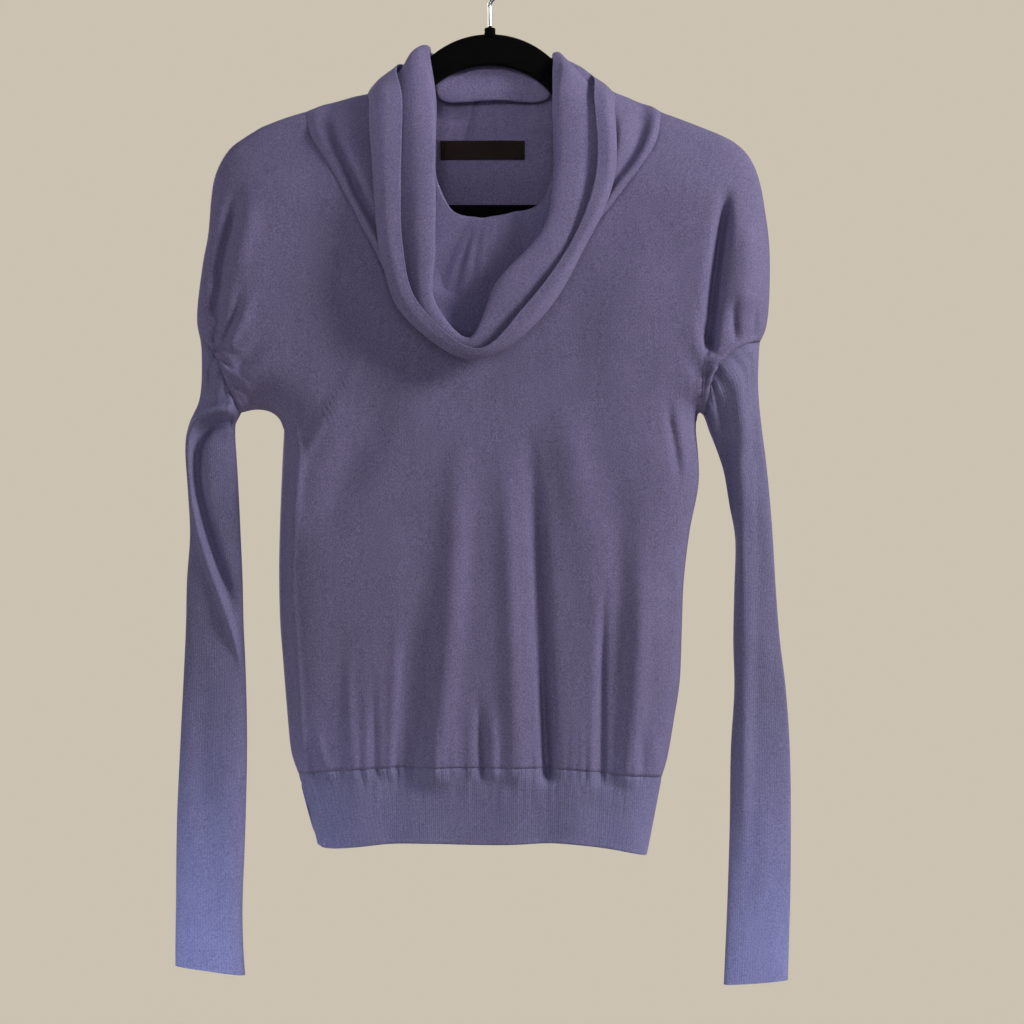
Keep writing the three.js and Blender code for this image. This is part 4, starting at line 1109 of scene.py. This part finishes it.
def join_part(mesh: bpy.types.Mesh, points_mm: Array, quads: Array) -> None:
    """Adds a part to a mesh, with close points merged and faces turned outwards.

    Args:
        mesh: mesh that receives the part.
        points_mm: one row a point.
        quads: four point numbers a face.
    """
    part = bpy.data.meshes.new("part")
    part.from_pydata((points_mm * MM).tolist(), [], quads.tolist())
    joined = bmesh.new()
    joined.from_mesh(mesh)
    joined.from_mesh(part)
    bmesh.ops.remove_doubles(joined, verts=joined.verts, dist=JOIN_REACH)
    bmesh.ops.recalc_face_normals(joined, faces=joined.faces)
    joined.to_mesh(mesh)
    joined.free()
    bpy.data.meshes.remove(part)


@dataclass
class Hook:
    """Wire hook: shank, crook and rounded tip, with the radii of wire, crook and ball in mm."""

    wire: float = 1.6
    crook: float = 19.6
    ball: float = 2.4
    rings: int = 220
    around: int = 20

    def path(self) -> Array:
        """Middle line of the wire in mm."""
        middle = -self.crook + self.wire
        rows = [[0, -62.0], [0, -50], [0, -42], [4.6, -36.6]]
        for angle in range(-45, 206, 25):
            turn = math.radians(angle)
            rows.append([self.crook * math.cos(turn), middle + self.crook * math.sin(turn)])
        return spline(np.asarray(rows, float), np.linspace(0, 1, self.rings), even=False)

    def build(self) -> bpy.types.Object:
        """Tube along the path, its radius swelling to a small ball at the tip."""
        line = self.path()
        along = np.gradient(line, axis=0)
        along /= np.linalg.norm(along, axis=1, keepdims=True)
        side = np.stack([-along[:, 1], along[:, 0]], axis=1)
        length = progress(line) * np.linalg.norm(np.diff(line, axis=0), axis=1).sum()
        to_end = length[-1] - length
        swell = self.ball * np.sqrt(np.clip(1 - ((to_end - self.ball) / self.ball) ** 2, 0, 1))
        swell = np.maximum(swell, np.where(to_end > self.ball, self.wire, 0))
        radius = np.where(to_end < 2 * self.ball, swell, self.wire)[:, None]
        radius[[0, -1]] = POINT
        turn = np.linspace(0, 2 * math.pi, self.around, endpoint=False)
        flat = line[:, None] + side[:, None] * (radius * np.cos(turn))[..., None]
        space = np.stack([flat[..., 0], radius * np.sin(turn), flat[..., 1]], axis=-1)
        mesh = bpy.data.meshes.new("hook_wire")
        join_part(mesh, space.reshape(-1, 3), grid_faces(self.rings, self.around, closed=True))
        return dress(mesh, "hook")


# Finishes
# Scale and detail of the three noises, and the shares in which they are mixed
FINE, STREAK, BROAD = (900.0, 3.0), (240.0, 4.0), (28.0, 5.0)
NAP, FINE_SHARE, STREAK_SHARE, MELANGE_SHARE, BROAD_SHARE = 1.4, 0.85, 0.15, 0.92, 0.08
STREAK_STRETCH = (1.0, 1.0, 0.22)


class Nodes:
    """Short way to add and join shader nodes in one tree."""

    def __init__(self, tree: bpy.types.NodeTree) -> None:
        """Keeps the tree."""
        self.tree = tree

    def add(self, kind: str, inputs: dict | None = None, **properties: object) -> bpy.types.Node:
        """New node with its inputs and its properties set."""
        node = self.tree.nodes.new(kind)
        for name, value in properties.items():
            setattr(node, name, value)
        self.fill(node, inputs or {})
        return node

    @staticmethod
    def fill(node: bpy.types.Node, inputs: dict) -> None:
        """Sets a node's inputs, by their names."""
        for name, value in inputs.items():
            node.inputs[name].default_value = value

    def join(self, out: bpy.types.NodeSocket, into: bpy.types.NodeSocket) -> None:
        """Link from one socket to another."""
        self.tree.links.new(out, into)

    def math(self, kind: str, first: object, second: object = 0.0) -> bpy.types.NodeSocket:
        """Math node on sockets or numbers."""
        node = self.add("ShaderNodeMath", operation=kind)
        for socket, value in zip(node.inputs, (first, second)):
            if isinstance(value, (int, float)):
                socket.default_value = value
            else:
                self.join(value, socket)
        return node.outputs[0]

    def mix(self, first: object, share: object, second: object, rest: object) -> bpy.types.NodeSocket:
        """Sum of two sockets, each times its number or socket."""
        return self.math("ADD", self.math("MULTIPLY", first, share), self.math("MULTIPLY", second, rest))

    def noise(self, at: bpy.types.NodeSocket, scale: float, detail: float) -> bpy.types.NodeSocket:
        """Noise texture on the given coordinates."""
        node = self.add("ShaderNodeTexNoise", {"Scale": scale, "Detail": detail})
        self.join(at, node.inputs["Vector"])
        return node.outputs["Fac"]

    def bump(self, height: bpy.types.NodeSocket, strength: float, reach: float) -> None:
        """Bump from a height on the tree's Principled shader, the reach in metres."""
        node = self.add("ShaderNodeBump", {"Strength": strength, "Distance": reach})
        self.join(height, node.inputs["Height"])
        self.join(node.outputs[0], self.tree.nodes["Principled BSDF"].inputs["Normal"])


def principled(name: str, inputs: dict) -> tuple[bpy.types.Material, Nodes, bpy.types.Node]:
    """New material of one Principled shader.

    Args:
        name: name of the material.
        inputs: the shader's inputs by name.

    Returns:
        The material, its nodes and its shader.
    """
    made = bpy.data.materials.new(name)
    made.use_nodes = True
    nodes, shader = Nodes(made.node_tree), made.node_tree.nodes["Principled BSDF"]
    nodes.fill(shader, inputs)
    return made, nodes, shader


def knit_group() -> bpy.types.NodeTree:
    """Shader group of a fine knit: wales across, courses down, and a melange mask.

    Height = wales * |sin(pi u / w)| + courses * sin(2 pi v / c), with a little noise.
    """
    tree = bpy.data.node_groups.new("fine_knit", "ShaderNodeTree")
    face = tree.interface
    for name, value in (("Wale", 0.0017), ("Course", 0.0011), ("Wale Height", 1.0), ("Course Height", 0.3)):
        socket = face.new_socket(name, in_out="INPUT", socket_type="NodeSocketFloat")
        socket.default_value = value
    for name in ("Height", "Melange", "Patches"):
        face.new_socket(name, in_out="OUTPUT", socket_type="NodeSocketFloat")
    n = Nodes(tree)
    given, end = n.add("NodeGroupInput").outputs, n.add("NodeGroupOutput")
    parts = n.add("ShaderNodeSeparateXYZ")
    n.join(n.add("ShaderNodeUVMap", uv_map="cloth").outputs[0], parts.inputs[0])
    across = n.math("MULTIPLY", n.math("DIVIDE", parts.outputs[0], given["Wale"]), math.pi)
    wale = n.math("ABSOLUTE", n.math("SINE", across))
    down = n.math("MULTIPLY", n.math("DIVIDE", parts.outputs[1], given["Course"]), 2 * math.pi)
    course = n.math("SINE", down)
    space = n.add("ShaderNodeTexCoord").outputs["Object"]
    stretch = n.add("ShaderNodeMapping", {"Scale": STREAK_STRETCH})
    n.join(space, stretch.inputs["Vector"])
    fine, streak = n.noise(space, *FINE), n.noise(stretch.outputs[0], *STREAK)
    high = n.mix(wale, given["Wale Height"], course, given["Course Height"])
    n.join(n.math("ADD", high, n.math("MULTIPLY", fine, NAP)), end.inputs["Height"])
    n.join(n.mix(fine, FINE_SHARE, streak, STREAK_SHARE), end.inputs["Melange"])
    n.join(n.noise(space, *BROAD), end.inputs["Patches"])
    return tree


@dataclass(frozen=True)
class KnitFinish:
    """Soft lavender knit with a slight melange and nap."""

    name: str
    deep: tuple[float, float, float]
    light: tuple[float, float, float]
    wale: float
    wale_height: float
    course_height: float
    bump: float
    bump_reach: float = 0.0004
    rough: float = 0.92
    shine: float = 0.25
    sheen: float = 0.12
    sheen_rough: float = 0.45
    sheen_tint: tuple[float, float, float, float] = (0.78, 0.76, 0.95, 1)
    deep_at: float = 0.36
    light_at: float = 0.66

    def build(self, group: bpy.types.NodeTree) -> bpy.types.Material:
        """Material with the knit group driving colour and bump."""
        made, n, shader = principled(self.name, {
            "Roughness": self.rough, "Specular IOR Level": self.shine, "Sheen Weight": self.sheen,
            "Sheen Roughness": self.sheen_rough, "Sheen Tint": self.sheen_tint})
        knit = n.add("ShaderNodeGroup", node_tree=group)
        n.fill(knit, {"Wale": self.wale, "Wale Height": self.wale_height,
                      "Course Height": self.course_height})
        ramp = n.add("ShaderNodeValToRGB")
        stops = ((self.deep_at, self.deep), (self.light_at, self.light))
        for stop, (place, colour) in zip(ramp.color_ramp.elements, stops):
            stop.position = place
            stop.color = (*colour, 1)
        shade = n.mix(knit.outputs["Melange"], MELANGE_SHARE, knit.outputs["Patches"], BROAD_SHARE)
        n.join(shade, ramp.inputs[0])
        n.join(ramp.outputs[0], shader.inputs["Base Color"])
        n.bump(knit.outputs["Height"], self.bump, self.bump_reach)
        return made


@dataclass(frozen=True)
class PlainFinish:
    """One colour with a fine grain, for the flock, the label and the wire."""

    name: str
    colour: tuple[float, float, float]
    rough: float
    metal: float = 0.0
    sheen: float = 0.0
    shine: float = 0.5
    grain: float = 0.0
    grain_scale: float = 2500.0
    grain_detail: float = 2.0
    grain_reach: float = 0.0003

    def build(self) -> bpy.types.Material:
        """Material with a noise bump where a grain is asked."""
        made, n, _ = principled(self.name, {
            "Base Color": (*self.colour, 1), "Roughness": self.rough, "Metallic": self.metal,
            "Sheen Weight": self.sheen, "Specular IOR Level": self.shine})
        if self.grain > 0:
            space = n.add("ShaderNodeTexCoord").outputs["Object"]
            n.bump(n.noise(space, self.grain_scale, self.grain_detail), self.grain, self.grain_reach)
        return made


KNIT = KnitFinish("lavender_knit", (0.138, 0.124, 0.243), (0.252, 0.23, 0.425), 0.0012, 0.35, 0.15, 0.3)
RIB = KnitFinish("lavender_rib", (0.14, 0.133, 0.26), (0.25, 0.24, 0.435), 0.0016, 0.8, 0.15, 0.4)
FLOCK = PlainFinish("flocked_black", (0.002, 0.002, 0.0022), 0.95, sheen=0.01, shine=0.06, grain=0.6)
LABEL = PlainFinish("label_brown", (0.014, 0.006, 0.0045), 0.6, shine=0.12, grain=0.2, grain_scale=4000.0)
STEEL = PlainFinish("hook_steel", (0.62, 0.62, 0.64), 0.22, metal=1.0)
PALE = PlainFinish("floor_pale", (0.62, 0.58, 0.52), 0.9)


# Studio
@dataclass
class Studio:
    """Pale floor, soft light and the camera at the photo's angle."""

    floor_height: float = -1.25
    floor_reach: float = 1.3
    camera_back: float = 1.6
    camera_across: float = 0.0183
    camera_height: float = -0.4637
    lens: float = 67.8
    sensor: float = 36.0
    ambient: tuple[float, float, float, float] = (0.8, 0.8, 0.9, 1)
    ambient_power: float = 0.12
    wall: tuple[float, float, float, float] = (0.6, 0.54, 0.44, 1)

    def floor(self) -> None:
        """Plain pale floor."""
        mesh = bpy.data.meshes.new("floor")
        wide, z = self.floor_reach, self.floor_height
        corners = [(-wide, -wide, z), (wide, -wide, z), (wide, wide, z), (-wide, wide, z)]
        mesh.from_pydata(corners, [], [(0, 1, 2, 3)])
        obj = add_object("floor", mesh)
        mesh.materials.append(PALE.build())

    def world(self) -> None:
        """Pale wall colour for the camera, and a dim even light for the rest."""
        world = bpy.data.worlds.new("studio")
        world.use_nodes = True
        n = Nodes(world.node_tree)
        ambient = world.node_tree.nodes["Background"]
        n.fill(ambient, {"Color": self.ambient, "Strength": self.ambient_power})
        seen = n.add("ShaderNodeBackground", {"Color": self.wall})
        mix, path = n.add("ShaderNodeMixShader"), n.add("ShaderNodeLightPath")
        n.join(path.outputs["Is Camera Ray"], mix.inputs[0])
        n.join(ambient.outputs[0], mix.inputs[1])
        n.join(seen.outputs[0], mix.inputs[2])
        n.join(mix.outputs[0], world.node_tree.nodes["World Output"].inputs[0])
        bpy.context.scene.world = world
        bpy.context.scene.view_settings.view_transform = "Standard"

    def light(self, name: str, place: tuple[float, float, float], size: float, power: float,
              colour: tuple[float, float, float], target: tuple[float, float, float] = (0, 0, -0.42),
              cone: float = 180) -> None:
        """Square area light that looks at a target, with its beam held inside a cone in degrees."""
        lamp = bpy.data.lights.new(name, "AREA")
        lamp.size = size
        lamp.energy = power
        lamp.color = colour
        lamp.spread = math.radians(cone)
        obj = add_object(name, lamp)
        obj.location = place
        aim = np.array(target) - np.array(place)
        flat = math.hypot(aim[0], aim[1])
        obj.rotation_euler = (math.pi / 2 + math.atan2(aim[2], flat), 0, math.atan2(-aim[0], aim[1]))

    def build(self) -> None:
        """Floor, world, lights and camera."""
        self.floor()
        self.world()
        self.light("key", (1.75, -0.75, 0.55), 0.55, 36, (1.0, 0.94, 0.88))
        self.light("front", (0.05, -1.9, 0.0), 0.8, 3.6, (1.0, 0.95, 0.92))
        self.light("side", (-1.7, -0.5, 0.1), 0.6, 5.5, (1.0, 0.95, 0.9))
        self.light("back", (-0.7, 2.0, 0.55), 1.0, 34, (1.0, 0.96, 0.92))
        self.light("neck", (-0.2, -1.5, 0.05), 0.2, 0.031, (1.0, 0.94, 0.93), (-0.01, 0, -0.105), 11)
        self.light("cuff left", (-0.5, -0.9, -0.95), 0.2, 0.2, (0.6, 0.78, 1.0), (-0.24, 0, -0.86), 26)
        self.light("cuff right", (0.5, -0.9, -0.95), 0.2, 0.17, (0.65, 0.8, 1.0), (0.22, 0, -0.87), 26)
        lens = bpy.data.cameras.new("camera")
        lens.lens = self.lens
        lens.sensor_width = self.sensor
        eye = add_object("camera", lens)
        eye.location = (self.camera_across, -self.camera_back, self.camera_height)
        eye.rotation_euler = (math.pi / 2, 0, 0)
        bpy.context.scene.camera = eye


def main() -> None:
    """Builds the garment, its hanger and the studio."""
    logging.basicConfig(level=logging.INFO)
    relief = Relief()
    cloth = [Panel(Side.FRONT, relief).build(), Panel(Side.BACK, relief).build(), Cowl(relief).build()]
    ribbed = [Sleeve(Hand.LEFT, relief).build(), Sleeve(Hand.RIGHT, relief).build(),
              HemBand(Side.FRONT, relief).build(), HemBand(Side.BACK, relief).build()]
    group = knit_group()
    dressed = [(cloth, KNIT.build(group)), (ribbed, RIB.build(group)),
               ([NeckLabel(relief).build()], LABEL.build()), ([Hanger().build()], FLOCK.build()),
               ([Hook().build()], STEEL.build())]
    for pieces, finish in dressed:
        for piece in pieces:
            piece.data.materials.clear()
            piece.data.materials.append(finish)
    Studio().build()


if __name__ == "__main__":
    main()
